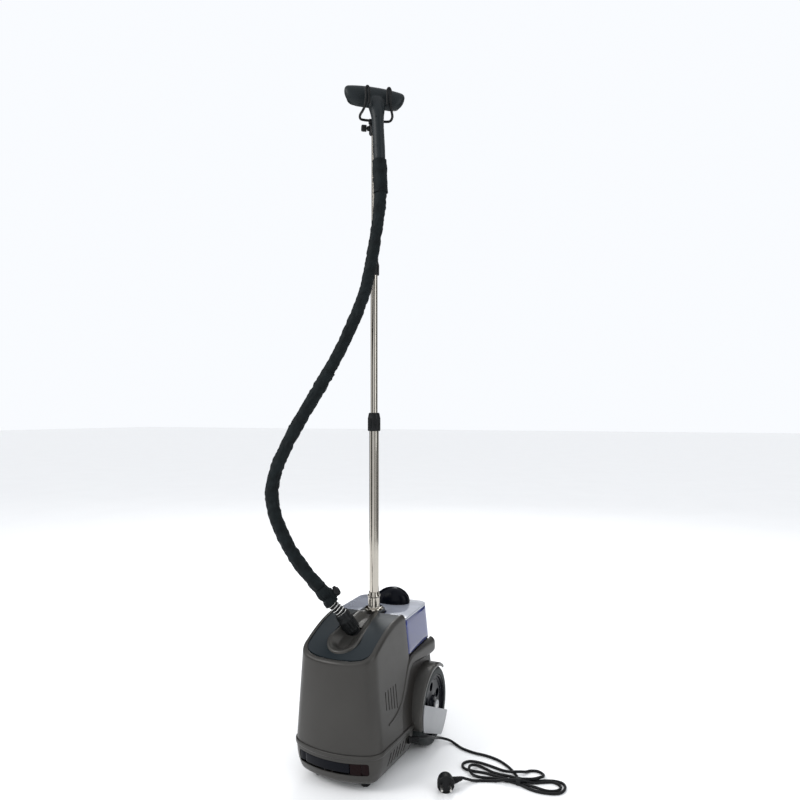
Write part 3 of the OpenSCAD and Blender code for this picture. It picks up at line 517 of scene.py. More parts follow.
def clear_plastic(name, colour, clearness, roughness):
    paint, shader = new_finish(name, colour, roughness, 0.0, IOR=1.46, Coat_Weight=0.4,
                               Coat_Roughness=0.05, Transmission_Weight=clearness)
    mottle(paint, shader, [c * 0.8 for c in colour], [min(1, c * 1.2) for c in colour], 14, 5)
    vary_roughness(paint, shader, roughness * 0.6, roughness * 1.6, 30)
    return paint


# Material name, colour, roughness, grain, share of metal flake and specular level
MOULDED = {
    "shell_grey": ("satin_gunmetal", (0.040, 0.038, 0.035), 0.36, 0.12, 0.45, 0.4),
    "dark_plastic": ("housing_grey", (0.020, 0.018, 0.016), 0.45, 0.2, 0.25, 0.3),
    "satin_trim": ("satin_grey", (0.056, 0.054, 0.050), 0.32, 0.08, 0.6, 0.4),
    "slate_panel": ("slate_satin", (0.0075, 0.0125, 0.0160), 0.30, 0.12, 0.15, 0.3),
    "black_plastic": ("black_grained", (0.0042, 0.0050, 0.0056), 0.42, 0.3, 0, 0.22),
    "gloss_black": ("piano_black", (0.0020, 0.0026, 0.0050), 0.2, 0.02, 0, 0.09),
    "red_lens": ("smoked_red", (0.0060, 0.0012, 0.0016), 0.2, 0.02, 0, 0.09),
    "rubber": ("black_rubber", (0.006, 0.006, 0.0065), 0.7, 0.4, 0, 0.2),
    "pale_guard": ("pale_grey", (0.27, 0.275, 0.285), 0.42, 0.1, 0.1, 0.5),
    "tyre": ("tyre_rubber", (0.012, 0.016, 0.016), 0.58, 0.5, 0, 0.25),
    "board": ("circuit_green", (0.015, 0.10, 0.04), 0.4, 0.15, 0, 0.5),
    "black_wire": ("coated_wire", (0.004, 0.0045, 0.005), 0.45, 0.02, 0, 0.22),
    "handset_slate": ("handset_slate", (0.0068, 0.0105, 0.0125), 0.42, 0.22, 0, 0.25),
    "cord_black": ("cord_pvc", (0.004, 0.0044, 0.005), 0.42, 0.2, 0, 0.2),
}
FINISH = {slot: moulded(*values) for slot, values in MOULDED.items()}
FINISH.update({
    "steel": metal("plain_steel", (0.50, 0.49, 0.47), 0.28),
    "cast_alloy": metal("cast_alloy", (0.42, 0.42, 0.42), 0.45, scratch=0.3),
    "silicone": moulded("milky_silicone", (0.45, 0.45, 0.42), 0.5, 0.15, Transmission_Weight=0.2),
    "hose_rings": metal("hose_wire", (0.66, 0.66, 0.64), 0.2),
    "sleeve_cloth": woven("black_polyester", (0.0034, 0.0056, 0.0064), 0.0007),
    "tank_clear": clear_plastic("tank_blue", (0.03, 0.05, 0.24), 0.6, 0.05),
    "tank_lid": clear_plastic("tank_lilac", (0.36, 0.38, 0.44), 0.35, 0.12),
    "chrome": metal("mast_chrome", (0.46, 0.43, 0.38), 0.09, (30, 30, 1), 0.01),
})
hose_black = moulded("hose_black", (0.004, 0.0045, 0.005), 0.5, 0.2, specular=0.2)

set_camera()

# ---- Mains cord and its plug ----

CORD_R = 0.003
cord_points = [mm(*p) for p in [
    (121, -17, 60), (133, -5, 60), (140, 3, 59), (146, 14, 56), (149, 30, 49), (149, 50, 38),
    (149, 68, 28), (150, 87, 20), (157, 103, 12), (172, 111, 6), (190, 104, 3), (208, 93, 3),
    (238, 85, 3), (272, 83, 3), (303, 74, 3), (328, 57, 3), (346, 38, 3), (357, 22, 3.4),
    # Outer loop on the right
    (364, 10.4, 4), (376, 13, 3.6), (392, 22, 3), (412, 32, 3), (436, 40, 3), (453, 37, 3),
    (460, 22, 3), (455, 3, 3), (440, -8, 3), (417, -13, 3), (396, -12, 3), (378, -7, 3.4),
    # Inner loop on the left
    (364, -2, 4), (350, -1, 4), (330, 1.5, 3), (314, 0, 3), (297, -4, 3), (278, -8, 3),
    (263, -7, 4.5), (253, 2, 8.5), (250, 13, 9.8), (254, 25, 7.5), (266, 33, 4), (282, 29, 3),
    (300, 22, 3), (322, 17, 4.5), (345, 11, 8.6),
    # Upper loop on the right
    (364, 7.3, 9.8), (379, 12.5, 9.8), (393, 19, 9.8), (404, 29, 9.8), (410, 42, 7),
    (407, 55, 4), (394, 64, 3), (379, 60, 3), (370, 49, 4.5), (361, 38, 8.6), (350, 31, 9.8),
    (337, 31, 7), (320, 36, 3.8), (296, 43, 3), (268, 48, 3), (246, 47, 3), (233, 38, 3),
    # Outer loop on the left
    (230, 25, 3), (237, 13, 3), (254, 9, 3), (284, 12, 3), (312, 10, 3), (342, 7, 3.5),
    # Inner loop on the right
    (364, 4.2, 4), (382, 2, 3.3), (402, 0, 3), (425, -3, 3), (443, 4, 3), (451, 16, 3),
    (446, 29, 3), (431, 34, 3), (412, 25, 3), (397, 16.5, 3.4), (385, 10, 6.2), (375, 4, 9.4),
    # Out of the tie to the plug
    (364, 1.1, 9.8), (353, -0.5, 9.8), (342, -3, 9), (330, -6, 6.5), (319, -9, 4), (302, -14, 3),
    (284, -21, 3), (270, -30, 5), (259, -38, 10), (250, -46, 15), (243, -54, 16),
]]


def make_cord():
    path = smooth_path(cord_points, 0.0035)
    lead = sweep("mains_lead", path, lambda run, a: CORD_R, 14)
    finish_piece(lead, "base", "cord_black", "power_cord", "cord_bundle")
    return lead, path


def make_cord_tie():
    outline = [(-6.4, 3.5), (-6, 8.5), (-2, 13.4), (4, 14), (10, 13.4), (14, 8), (14.4, 3.5), (12, 0.6),
               (4, 0.35), (-4, 0.6)]
    rings = []
    for x, grow in ((359, 0), (360, 0.5), (368, 0.5), (369, 0)):
        rings.append([mm(x, 4 + (y - 4) * (1 + grow / 20), 7 + (z - 7) * (1 + grow / 20))
                      for y, z in outline])
    band = loft("cord_tie", rings)
    modify(band, "SUBSURF", levels=2, render_levels=2)
    thicken(band, 0.0008)
    low = min(v.co.z for v in band.data.vertices)
    if low < 0:
        band.data.transform(Matrix.Translation((0, 0, -low)))
    return finish_piece(band, "base", "cord_black", paint=FINISH["black_plastic"])


PLUG_TURN = math.radians(22)


def make_plug():
    """Angled two-pin plug: a round head lying on its edge, and a ribbed tail."""
    middle_of_plug = mm(224, -80, 18.5)
    facing = Vector((math.sin(PLUG_TURN), -math.cos(PLUG_TURN), 0))
    head = turned("plug_body", [
        (0, -14), (13, -14), (15.4, -12.5), (16.6, -8), (17, -2), (18.1, -1), (18.4, 8), (18.4, 11.5),
        (17.2, 12.8), (15.8, 13.2), (15.4, 12), (0, 12)], 64)
    stand(head, middle_of_plug, facing)
    for side in (-1, 1):
        heart = middle_of_plug + Vector((math.cos(PLUG_TURN), math.sin(PLUG_TURN), 0)) * side * 0.0205
        cut(head, drum(0.004, heart - facing * 0.012, heart + facing * 0.02, 24))
    tail_start = middle_of_plug + mm(8, 10, -3.5) * 0.6
    tail_end = mm(252, -44, 14)
    along = (tail_end - tail_start).normalized()
    profile = [(0, 0), (8.6, 0), (8.6, 8)]
    for k in range(6):
        r, z = -0.62 * k, 4 * k
        profile += [(8 + r, 10 + z), (6.9 + r, 11 + z), (6.9 + r, 12.6 + z), (7.8 + r, 13.4 + z)]
    tail = turned("plug_tail", profile + [(3.4, 35), (0, 35)], 32)
    stand(tail, tail_start, along)
    plug = join("plug_body", head, tail)
    return finish_piece(plug, "base", "cord_black", "plug", angle=30)


def make_strain_relief():
    """Ribbed, tapered relief that guides the cord out ahead of the wheel."""
    out = Vector((1, 1, 0)).normalized()
    tip = mm(133, -5, 60)
    profile = [(0, -27), (8.4, -27), (8.6, -26), (8.4, -22.5), (6.4, -22), (6.4, -20.5)]
    for k in range(5):
        r = 6.3 - 0.45 * k
        z = -20 + 3.8 * k
        profile += [(r, z), (r, z + 2.0), (r - 1.1, z + 2.3), (r - 1.1, z + 3.4)]
    profile += [(4.0, -0.6), (3.6, 0), (0, 0)]
    relief = turned("cord_relief", profile, 40)
    stand(relief, tip, out)
    return finish_piece(relief, "base", "rubber", "cord_gland", angle=30)


lead, lead_path = make_cord()
plug = make_plug()
make_cord_tie()
make_strain_relief()

# ---- Steam hose: two lengths of sleeve, the hem with its drawstring lock, and the bare end ----

HOSE_WAY = 214
hose_upper = [mm(*p) for p in [
    (36.6, -8.8, 1398), (38.6, -7.8, 1340), (37.5, -12, 1285), (33, -19, 1235), (27, -23, 1190),
    (20, -28, 1142), (11, -34, 1095), (-4, -41, 1048), (-22, -49, 1002), (-42, -58, 955),
    (-65, -68, 908), (-67, -69, 903.5)]]
hose_lower = [mm(*p) for p in [
    (-66, -68, 906), (-89, -79, 862), (-114, -91, 815), (-138, -103, 768), (-159, -113, 722),
    (-176, -122, 675), (-183, -128, 629), (-176, -131, 584), (-159, -129, 539),
    (-135, -123, 493), (-105, -113, 448), (-71, -101, 407)]]
hem_route = [mm(*p) for p in [(-71, -101, 407), (-59, -95, 389), (-47, -88, 371)]]
stub_route = [mm(*p) for p in [(-52, -91, 378), (-47, -88, 371), (-37, -83, 360), (-28, -78, 350),
                               (-19, -72, 333)]]


def cloth_radius(radius, seed, ends=()):
    """Radius of a gathered sleeve: slow bulges, puckers across it and one sewn seam."""
    def at(run, a):
        round_x, round_y = math.cos(a) * radius, math.sin(a) * radius
        slow = noise.noise(Vector((seed, run * 17, 0)))
        lean = 0.9 * round_x + 0.4 * round_y
        fold = noise.noise(Vector((run * 95 + 40 * lean, seed + 3, round_x * 60)))
        crease = abs(noise.noise(Vector((run * 60, round_x * 85 + seed, round_y * 85))))
        fine = noise.noise(Vector((round_x * 260, round_y * 260 + seed, run * 240)))
        r = radius * (1.0 + 0.10 * slow + 0.09 * fold - 0.20 * crease + 0.02 * fine)
        r += math.exp(-((a - 2.2) / 0.09) ** 2) * 0.0008
        for place, width, depth in ends:
            r -= depth * math.exp(-((run - place) / width) ** 2)
        return r
    return at


def make_sleeves():
    lower_path = smooth_path(hose_lower, 0.0022)
    upper_path = smooth_path(hose_upper, 0.0022)
    lower = sweep("sleeve_lower_cloth", lower_path, cloth_radius(0.0159, 2.0), 56)
    finish_piece(lower, "base", "sleeve_cloth", "sleeve_lower", angle=180)
    upper = sweep("sleeve_upper_cloth", upper_path, cloth_radius(0.0147, 9.0), 52)
    finish_piece(upper, "mid", "sleeve_cloth", "sleeve_upper", angle=180)
    return lower, lower_path, upper, upper_path


def make_hem():
    path = smooth_path(hem_route, 0.0012)

    def radius(run, a):
        gather = 0.0007 * math.cos(16 * a + 40 * run) * min(1, run / 0.012)
        waist = 0.0028 * math.exp(-((run - 0.027) / 0.0035) ** 2)
        swell = 0.0016 * math.exp(-((run - 0.014) / 0.009) ** 2)
        flare = 0.0010 * max(0, (run - 0.034) / 0.008)
        fold = 0.0009 * noise.noise(Vector((run * 130, math.cos(a) * 3, math.sin(a) * 3)))
        return 0.0148 + swell - waist + flare + gather + fold
    hem = sweep("sleeve_hem_cloth", path, radius, 72)
    # Cloth that the drawstring bunches up against its lock
    out = (lock_place() - hem_route[1]).normalized()
    heart = hem_route[1] + out * 0.0125
    tuft = turned("tuft", [
        (0, -17), (4, -16.4), (7, -13), (8.6, -8), (9.3, -2), (9, 4), (7.8, 9), (5.6, 13), (3, 15),
        (0, 15.6)], 48)
    for vertex in tuft.data.vertices:
        vertex.co *= 1 + 0.16 * noise.noise(vertex.co * 220)
    stand(tuft, heart, hem_route[0] - hem_route[2])
    tuft.data.uv_layers.new(name="UVMap")
    hem = join("sleeve_hem_cloth", hem, tuft)
    return finish_piece(hem, "base", "sleeve_cloth", "sleeve_hem", angle=180)


def make_bare_hose():
    path = smooth_path(stub_route, 0.0007)
    pitch = 0.0074

    def radius(run, a):
        return 0.0104 + 0.0007 * math.cos(FULL_TURN * run / pitch)
    hose = sweep("bare_hose", path, radius, 40)
    finish_piece(hose, "base", "hose_rings", "hose_stub", paint=hose_black, angle=60)
    rings = []
    step = path_length(path) / (len(path) - 1)
    for k in range(int(path_length(path) / pitch)):
        i = round((k + 0.5) * pitch / step)
        deselect()
        bpy.ops.mesh.primitive_torus_add(major_radius=0.0111, minor_radius=0.00145,
                                         major_segments=48, minor_segments=12)
        ring = bpy.context.object
        ring.name = "hose_wire"
        rings.append(stand(ring, path[i], path[i + 1] - path[i - 1]))
    wire = join("hose_wire", *rings)
    return hose, finish_piece(wire, "base", "hose_rings", angle=60)


def lock_place():
    return hem_route[1] + mm(21, 9, 12)


def make_cord_lock():
    """Toggle that grips the drawstring, with its sprung button."""
    place = lock_place()
    lean = tilted(30, HOSE_WAY)
    barrel = turned("cord_lock_barrel", [
        (0, -11), (5.6, -11), (7.6, -9), (8.4, -4), (8.2, 2), (7, 6), (5.4, 7), (4.5, 6.6),
        (4.5, -3), (0, -3)], 48)
    stand(barrel, place, lean)
    cut(barrel, drum(0.0017, place + mm(-12, 3, -6), place + mm(12, -3, -6), 20))
    finish_piece(barrel, "base", "black_plastic", "cord_lock")
    button = turned("cord_lock_button", [
        (0, 1.5), (4.2, 1.5), (4.2, 9.6), (3.9, 10.8), (3, 11.4), (0, 11.5)], 40)
    stand(button, place, lean)
    finish_piece(button, "lock_button", "black_plastic", "lock_button")
    return barrel


sleeve_low, low_path, sleeve_high, high_path = make_sleeves()
hem = make_hem()
bare_hose, hose_wire = make_bare_hose()
lock_barrel = make_cord_lock()
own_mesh(sleeve_low)
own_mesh(sleeve_high)

# ---- Base body ----

BELT, DECK, RIM = 0.088, 0.333, 0.279
FRONT, REAR = -0.189, 0.168
BELT_PROUD = 0.003
WALL = 0.003
ARC_R = 0.2
WHEEL = middle("axle")
FENDER_R = 0.100
HALF_TRACK, TYRE_W = 0.137, 0.054
WELL_X = 0.078
MAST = Vector((0, middle("lower_tube").y, 0))
RIM_Y0 = -0.175
RIM_SPAN = 0.170


def rim_height(y):
    t = min(max((y - RIM_Y0) / RIM_SPAN, 0), 1)
    return RIM + (DECK - RIM) * math.sin(math.pi / 2 * t)


def plan(z, inset):
    """The plan's own sizes at a height: front, half widths, corners and where the sides begin."""
    t = max((z - BELT) / (DECK - BELT), 0)
    front = FRONT + BELT_PROUD + 0.008 * t + inset
    nose = 0.105 - 0.018 * t - inset
    side = 0.119 - 0.027 * t - inset
    corner = max(0.038 - inset, 0.006)
    tilt = math.asin((nose - corner) / (ARC_R - corner))
    corner_y = front + ARC_R - (ARC_R - corner) * math.cos(tilt)
    flare = math.atan((side - nose) / -corner_y)
    side_start = (nose - corner + corner * math.cos(flare), corner_y - corner * math.sin(flare))
    return front, side, corner, tilt, (nose - corner, corner_y), flare, side_start


def wall_x(y, z, inset=0.0):
    """Half width of the body's side at y, behind the front corner."""
    _, side, _, _, _, _, (x0, y0) = plan(z, inset)
    if y < 0:
        return x0 + (side - x0) * (y - y0) / -y0
    back = max(0.025 - inset, 0.005)
    start = REAR - inset - back
    if y > start:
        return side - back + math.sqrt(max(back ** 2 - (y - start) ** 2, 0))
    return side


def front_half(z, inset, end_y, front_steps=10, corner_steps=12, sides=14):
    """Half outline from the front's middle to the side at end_y."""
    front, _, corner, tilt, (cx, cy), flare, (x0, y0) = plan(z, inset)
    tilts = [tilt * i / front_steps for i in range(front_steps)]
    points = [(ARC_R * math.sin(a), front + ARC_R * (1 - math.cos(a))) for a in tilts]
    for i in range(corner_steps):
        a = tilt + (math.pi / 2 - flare - tilt) * i / corner_steps
        points.append((cx + corner * math.sin(a), cy - corner * math.cos(a)))
    for i in range(sides + 1):
        y = y0 + (end_y - y0) * i / sides
        points.append((wall_x(y, z, inset), y))
    return points


def both_halves(half):
    return [(-x, y) for x, y in reversed(half[1:])] + half


def full_ring(z, inset, sides=14, back_steps=8):
    """The whole outline at a height, as a closed ring."""
    back = max(0.025 - inset, 0.005)
    start = REAR - inset - back
    half = front_half(z, inset, start, sides=sides)
    _, side, *_ = plan(z, inset)
    for i in range(1, back_steps + 1):
        a = math.pi / 2 * i / back_steps
        half.append((side - back + back * math.cos(a), start + back * math.sin(a)))
    return level(both_halves(half), z)


def body_block(name, sections):
    """A closed solid through sections of (height, inset)."""
    return solid(name, [full_ring(z, inset) for z, inset in sections])


SEAM = [(236, 12), (222, 4), (198, -10), (175, -24), (150, -38), (120, -47), (88, -50)]


def seam_y(z):
    """Where the front shell ends and the rear housing begins, at a height."""
    if z >= SEAM[0][0] * MM:
        return SEAM[0][1] * MM
    for (z1, y1), (z0, y0) in zip(SEAM, SEAM[1:]):
        if z * 1000 >= z0:
            t = (z * 1000 - z0) / (z1 - z0)
            return (y0 + (y1 - y0) * t) * MM
    return SEAM[-1][1] * MM


def slab(name, outline):
    """A side-view outline of (y, z), extruded right across the body."""
    return solid(name, [[Vector((x, y, z)) for y, z in outline] for x in (-0.3, 0.3)])


def rim_follow(name, high_drop, low_drop, y0=-0.3, y1=0.3, steps=48):
    """The slab between two curves that run below the rim line."""
    ys = [y0 + (RIM_Y0 - y0) * k / 2 for k in range(2)]
    ys += [RIM_Y0 + RIM_SPAN * k / steps for k in range(steps + 1)] + [y1]
    top = [(y, rim_height(y) - high_drop) for y in ys]
    low = [(y, rim_height(y) - low_drop) for y in reversed(ys)]
    return slab(name, top + low)


ROLL = 0.009
SKIN = 0.0028


def cut_vent(obj, x, y, width, low, high, tilt, rounding):
    """A vent slot through a side wall, in mm along the side, tilted in degrees."""
    slot = block((x - 0.03, y * MM, low * MM), (x + 0.03, y * MM + width * MM, high * MM),
                 (math.radians(tilt), 0, 0))
    cut(obj, soften(slot, rounding))


def make_front_shell():
    """Front cover: flared sides, rounded nose, and a rim that rolls over into the top."""
    first = BELT + 0.0005
    rows, roll_rows = 44, 8
    tops = []
    for k in range(len(front_half(first, 0, 0))):
        z = RIM
        for _ in range(6):
            z = rim_height(front_half(z, 0, seam_y(z))[k][1])
        tops.append(z)

    def row(height, inset):
        """One row of the half shell; height turns a column's rim height into the row's height."""
        half = []
        for k, top in enumerate(tops):
            z = height(top)
            x, y = front_half(z, inset, seam_y(z))[k]
            half.append((x, y, z))
        return half

    rings = [row(lambda top: first + (top - ROLL - first) * (r / rows), 0) for r in range(rows + 1)]
    for step in range(1, roll_rows + 1):
        a = math.pi / 2 * step / roll_rows
        rings.append(row(lambda top: top - ROLL + ROLL * math.sin(a), ROLL * (1 - math.cos(a))))
    for extra, drop in ((0.0012, 0.0003), (0.0016, 0.0012), (0.0017, 0.005)):
        rings.append(row(lambda top: top - drop, ROLL + extra))
    shell = loft("front_cover", [[Vector((-x, y, z)) for x, y, z in reversed(half[1:])]
                                 + [Vector(p) for p in half] for half in rings], wrap=False)
    thicken(shell, SKIN)
    for side in (-1, 1):
        for i in range(5):
            cut_vent(shell, side * 0.1, -115 + 12 * i, 3, 163 - 3.5 * i, 203, 0, 0.0013)
    return finish_piece(shell, "base", "shell_grey", "front_shell", angle=50)


def make_skirt():
    """Skirt band with its proud belt ridge, tucked under at the foot."""
    profile = [(34, 8), (36, 7.2), (39, 6), (43, 4.7), (48, 3.5), (54, 2.3), (60, 1.3), (66, 0.6),
               (72, 0.1), (75.5, 0), (76.8, 0), (77.6, -0.5), (78.2, -1.7), (79.2, -2.6), (80.6, -2.95),
               (84, -3), (86.4, -2.9), (87.3, -2.3), (87.8, -1.2), (87.9, 0), (87.9, 1.5)]
    end = WHEEL.y - FENDER_R - 0.001
    rings = []
    for z, inset in profile:
        half = front_half(z * MM, inset * MM, end, front_steps=16, corner_steps=16, sides=24)
        rings.append(level(both_halves(half), z * MM))
    skirt = loft("skirt_cover", rings, wrap=False)
    thicken(skirt, SKIN)
    recess = block((-0.084, -0.21, 0.043), (0.084, -0.150, 0.070))
    soften(recess, 0.005, 4)
    cut(skirt, recess)
    for side in (-1, 1):
        for i in range(6):
            cut_vent(skirt, side * 0.11, -110 + 14 * i, 4.5, 41, 70, -18, 0.0018)
    return finish_piece(skirt, "base", "shell_grey", "skirt_band", angle=50)


def well_cutters():
    """The wheel wells, one on each side."""
    cutters = []
    for side in (-1, 1):
        start = Vector((side * WELL_X, WHEEL.y, WHEEL.z))
        cutters.append(drum(FENDER_R + 0.0005, start, start + Vector((side * 0.2, 0, 0)), 128))
        cutters.append(block((min(side * WELL_X, side * 0.3), WHEEL.y - FENDER_R - 0.0005, -0.01),
                             (max(side * WELL_X, side * 0.3), 0.4, 0.085)))
    return cutters


def make_tray():
    """Base tray, closing the body from below with a rounded edge."""
    sections = [(20, 24), (20, 20), (20.6, 17.5), (22.5, 14.6), (26, 11.6), (30, 9.4), (33.9, 8)]
    tray = body_block("tray_cover", [(z * MM, inset * MM) for z, inset in sections])
    inner = body_block("hollow", [(0.0235, 0.019), (0.05, 0.0095)])
    cut(tray, inner, *well_cutters())
    return finish_piece(tray, "base", "shell_grey", "base_tray", angle=45)


def make_rear_housing():
    """Housing behind the seam, under the tank, with the two wheel wells."""
    roof = 0.2335
    housing = body_block("housing_cover", [
        (0.034, 0.008), (0.048, 0.0037), (0.062, 0.001), (0.09, 0.001), (0.13, 0.001), (0.17, 0.001),
        (0.20, 0.001), (roof - 0.004, 0.001), (roof - 0.0015, 0.0018), (roof, 0.004)])
    inner = body_block("hollow", [(0.02, 0.010), (0.062, 0.004), (0.13, 0.004), (roof - 0.003, 0.004)])
    cut(housing, inner)
    ahead = [(seam_y(z * MM) + 0.0006, z * MM) for z, _ in SEAM]
    low = WHEEL.y - FENDER_R - 0.0005
    outline = [(-0.4, 0.3)] + [(ahead[0][0], 0.3)] + ahead + [(low, 0.0885), (low, -0.05), (-0.4, -0.05)]
    cut(housing, slab("front_part", outline), *well_cutters())
    for side in (-1, 1):
        plate_x = side * (WELL_X - WALL / 2)
        plate = block((plate_x - WALL / 2, low + 0.001, 0.034), (plate_x + WALL / 2, REAR - 0.006, 0.19))
        housing = join("housing_cover", housing, plate)
    return finish_piece(housing, "base", "dark_plastic", "rear_housing",
                        angle=40)


SHOULDER_TOP = [(163, 236.4), (120, 236.5), (60, 236.3), (26, 234), (4, 223), (-13, 201), (-29, 177),
                (-48, 155), (-76, 139), (-108, 131)]
SHOULDER_LOW = [(163, 202), (120, 203), (60, 210), (28, 214), (10, 206), (-4, 190), (-19, 168),
                (-42, 147), (-73, 132), (-108, 128.5)]


def make_side_trims():
    """Rounded shoulder under the tank that sweeps down over the seam and fades out."""
    back_y = 0.15
    edges = [smooth_path([Vector((0, y * MM, z * MM)) for y, z in edge], 0.004)
             for edge in (SHOULDER_LOW, SHOULDER_TOP)]
    count = min(len(edge) for edge in edges)
    across = 14
    rings = []
    for i in range(count):
        share = i / (count - 1)
        low, top = (edge[round(share * (len(edge) - 1))] for edge in edges)
        outer = []
        for k in range(across + 1):
            t = 2 * k / across - 1
            q = low.lerp(top, (t + 1) / 2)
            swell = max(0, q.y) / 0.167 * (0.004 + 0.011 * (q.z - 0.125) / 0.115)
            back = min(1, max(0.0, (0.166 - q.y) / 0.012)) ** 0.5
            out = (0.0016 + swell) * back * max(0, 1 - abs(t) ** 5) ** 0.5
            outer.append(Vector((wall_x(min(q.y, back_y), q.z) + 0.0003 + out, q.y, q.z)))
        inner = [Vector((wall_x(min(q.y, back_y), q.z) - 0.0002, q.y, q.z)) for q in (top, low)]
        rings.append(outer + inner)
    right = solid("side_trim_right", rings)
    finish_pair("side_trim", right, "shell_grey", "side_trims", 60)


OUTLET = Vector((0, MAST.y - 0.098, DECK - 0.036))
NUT_AXIS = tilted(33, HOSE_WAY)


def teardrop(grow, steps=40):
    """Plan outline round a large front circle and a small rear one."""
    y0, r0 = OUTLET.y - 0.057, 0.039 + grow
    y1, r1 = MAST.y - 0.038, 0.029 + grow
    slope = math.asin((r0 - r1) / (y1 - y0))
    return (arc(r0, y0, -math.pi - slope, slope, steps)
            + arc(r1, y1, slope, math.pi - slope, steps // 2))


def make_outlet_bezel():
    """Raised teardrop with a rounded lip, gently dished round the hose connector."""
    profile = [(0, -12), (0, -2.6), (-0.3, -0.6), (-1.0, 0.7), (-2.4, 1.5), (-4.5, 1.5), (-7, 0.8),
               (-10, -0.5), (-13, -2.2), (-16, -4.2), (-19, -6.5), (-22, -9), (-23.5, -10.5)]
    rings = []
    for grow, dz in profile:
        ring = []
        for x, y in teardrop(grow * MM):
            sink = 0.0050 * min(1, max(0, (y + 0.025) / 0.04)) ** 2
            ring.append(Vector((x, y, rim_height(y) + dz * MM - sink)))
        rings.append(ring)
    bezel = loft("bezel_cover", rings, high_cap=True)
    modify(bezel, "SOLIDIFY", thickness=0.0022, offset=-1)
    cut(bezel, drum(0.0195, OUTLET - NUT_AXIS * 0.02, OUTLET + NUT_AXIS * 0.09, 64))
    return finish_piece(bezel, "base", "satin_trim", "outlet_bezel", angle=40)


def make_top_panel():
    """Slate panel inside the rim, round the bezel and back to the mast."""
    drop = 0.0028
    back = 0.0115
    inset = ROLL + 0.0024
    tongue = 0.026
    tail = [(tongue, back), *arc(tongue, MAST.y, 0, math.pi, 16), (-tongue, back)]
    rings = []
    for z, outline_z in ((0.24, RIM), (RIM, RIM), (0.34, DECK)):
        rings.append(level(both_halves(front_half(outline_z, inset, back)) + tail, z))
    panel = solid("panel_cover", rings)
    combine(panel, rim_follow("rim_slab", drop, drop + 0.003), "INTERSECT")
    cut(panel, prism("bezel_hole", teardrop(-0.001)))
    return finish_piece(panel, "base", "slate_panel", "top_panel", angle=35)


def strip_piece(name, x0, x1, z0, z1, inset, corner):
    """A length of the front strip that follows the skirt's curve."""
    columns, rows = 40, 8
    rings = []
    for row in range(rows + 1):
        z = z0 + (z1 - z0) * row / rows
        front, _, radius, _, (edge, corner_y), _, _ = plan(z, inset)
        tuck = max(0, 0.066 - z) * 0.13
        ring = []
        for k in range(columns + 1):
            x = x0 + (x1 - x0) * k / columns
            y = front + ARC_R - math.sqrt(ARC_R ** 2 - x ** 2)
            if abs(x) > edge:
                y = corner_y - math.sqrt(max(radius ** 2 - (abs(x) - edge) ** 2, 0))
            ring.append(Vector((x, y + tuck, z)))
        rings.append(ring)
    piece = loft(name, rings, wrap=False)
    modify(piece, "SOLIDIFY", thickness=0.006, offset=-1)
    return soften(piece, corner, 3, 60)


def make_front_strip():
    """Foot pedal, and the dark window beside it."""
    pedal = strip_piece("pedal_pad", -0.083, 0.0435, 0.0478, 0.0692, 0.0014, 0.0015)
    finish_piece(pedal, "pedal", "gloss_black", "foot_pedal", angle=40)
    lens = strip_piece("window_red", 0.0448, 0.0832, 0.0440, 0.0692, 0.0018, 0.001)
    finish_piece(lens, "base", "red_lens", "indicator_lens", angle=40)


def coil(name, place, radius, wire, height, turns):
    path = [Vector(place) + Vector((radius * math.cos(a), radius * math.sin(a),
                                    wire + (height - 2 * wire) * a / (FULL_TURN * turns)))
            for a in [FULL_TURN * k / 20 for k in range(20 * turns + 1)]]
    return sweep(name, path, lambda run, a: wire, 10)


def make_springs():
    """Return springs of the pedal and of the tank valve, each on a mesh of its own."""
    foot = 0.0341
    height = 0.0129
    pair = join("pedal_springs", *[coil("pedal_spring_wire", (x, FRONT + 0.018, foot), 0.0025,
                                        0.0005, height, 6) for x in (-0.018, -0.002)])
    finish_piece(pair, "base", "steel", "pedal_spring", angle=60)
    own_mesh(pair)
    low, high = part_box("valve_spring")
    heart = (low + high) / 2
    height = high.z - low.z
    spring = coil("valve_spring_wire", (heart.x, heart.y, low.z), 0.0065, 0.0005, height, 4)
    finish_piece(spring, "valve_cap", "steel", "valve_spring", angle=60)
    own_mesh(spring)


def make_feet():
    """Two rubber feet, hollow underneath."""
    low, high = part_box("front_feet")
    outer_r = (high.y - low.y) / 2
    profile = [(0, 6), (5.2, 6), (6, 5), (6, 0.3), (6.6, 0), (9.2, 0), (10, 0.6), (10.4, 2),
               (11.4, 16), (12, 19.6), (11, 19.9), (0, 19.9)]
    feet = []
    for x in (low.x + outer_r, high.x - outer_r):
        foot = turned("front_foot", profile, 48)
        feet.append(stand(foot, (x, (low.y + high.y) / 2, 0)))
    finish_piece(join("front_feet_pair", *feet), "base", "rubber", "front_feet")


# ---- Wheels ----

def hand(side):
    return "right" if side > 0 else "left"


def to_wheel(obj, side):
    """Moves a piece made along +Z onto a wheel, with +Z pointing outwards."""
    return stand(obj, (side * (HALF_TRACK - TYRE_W), WHEEL.y, WHEEL.z), (side, 0, 0))


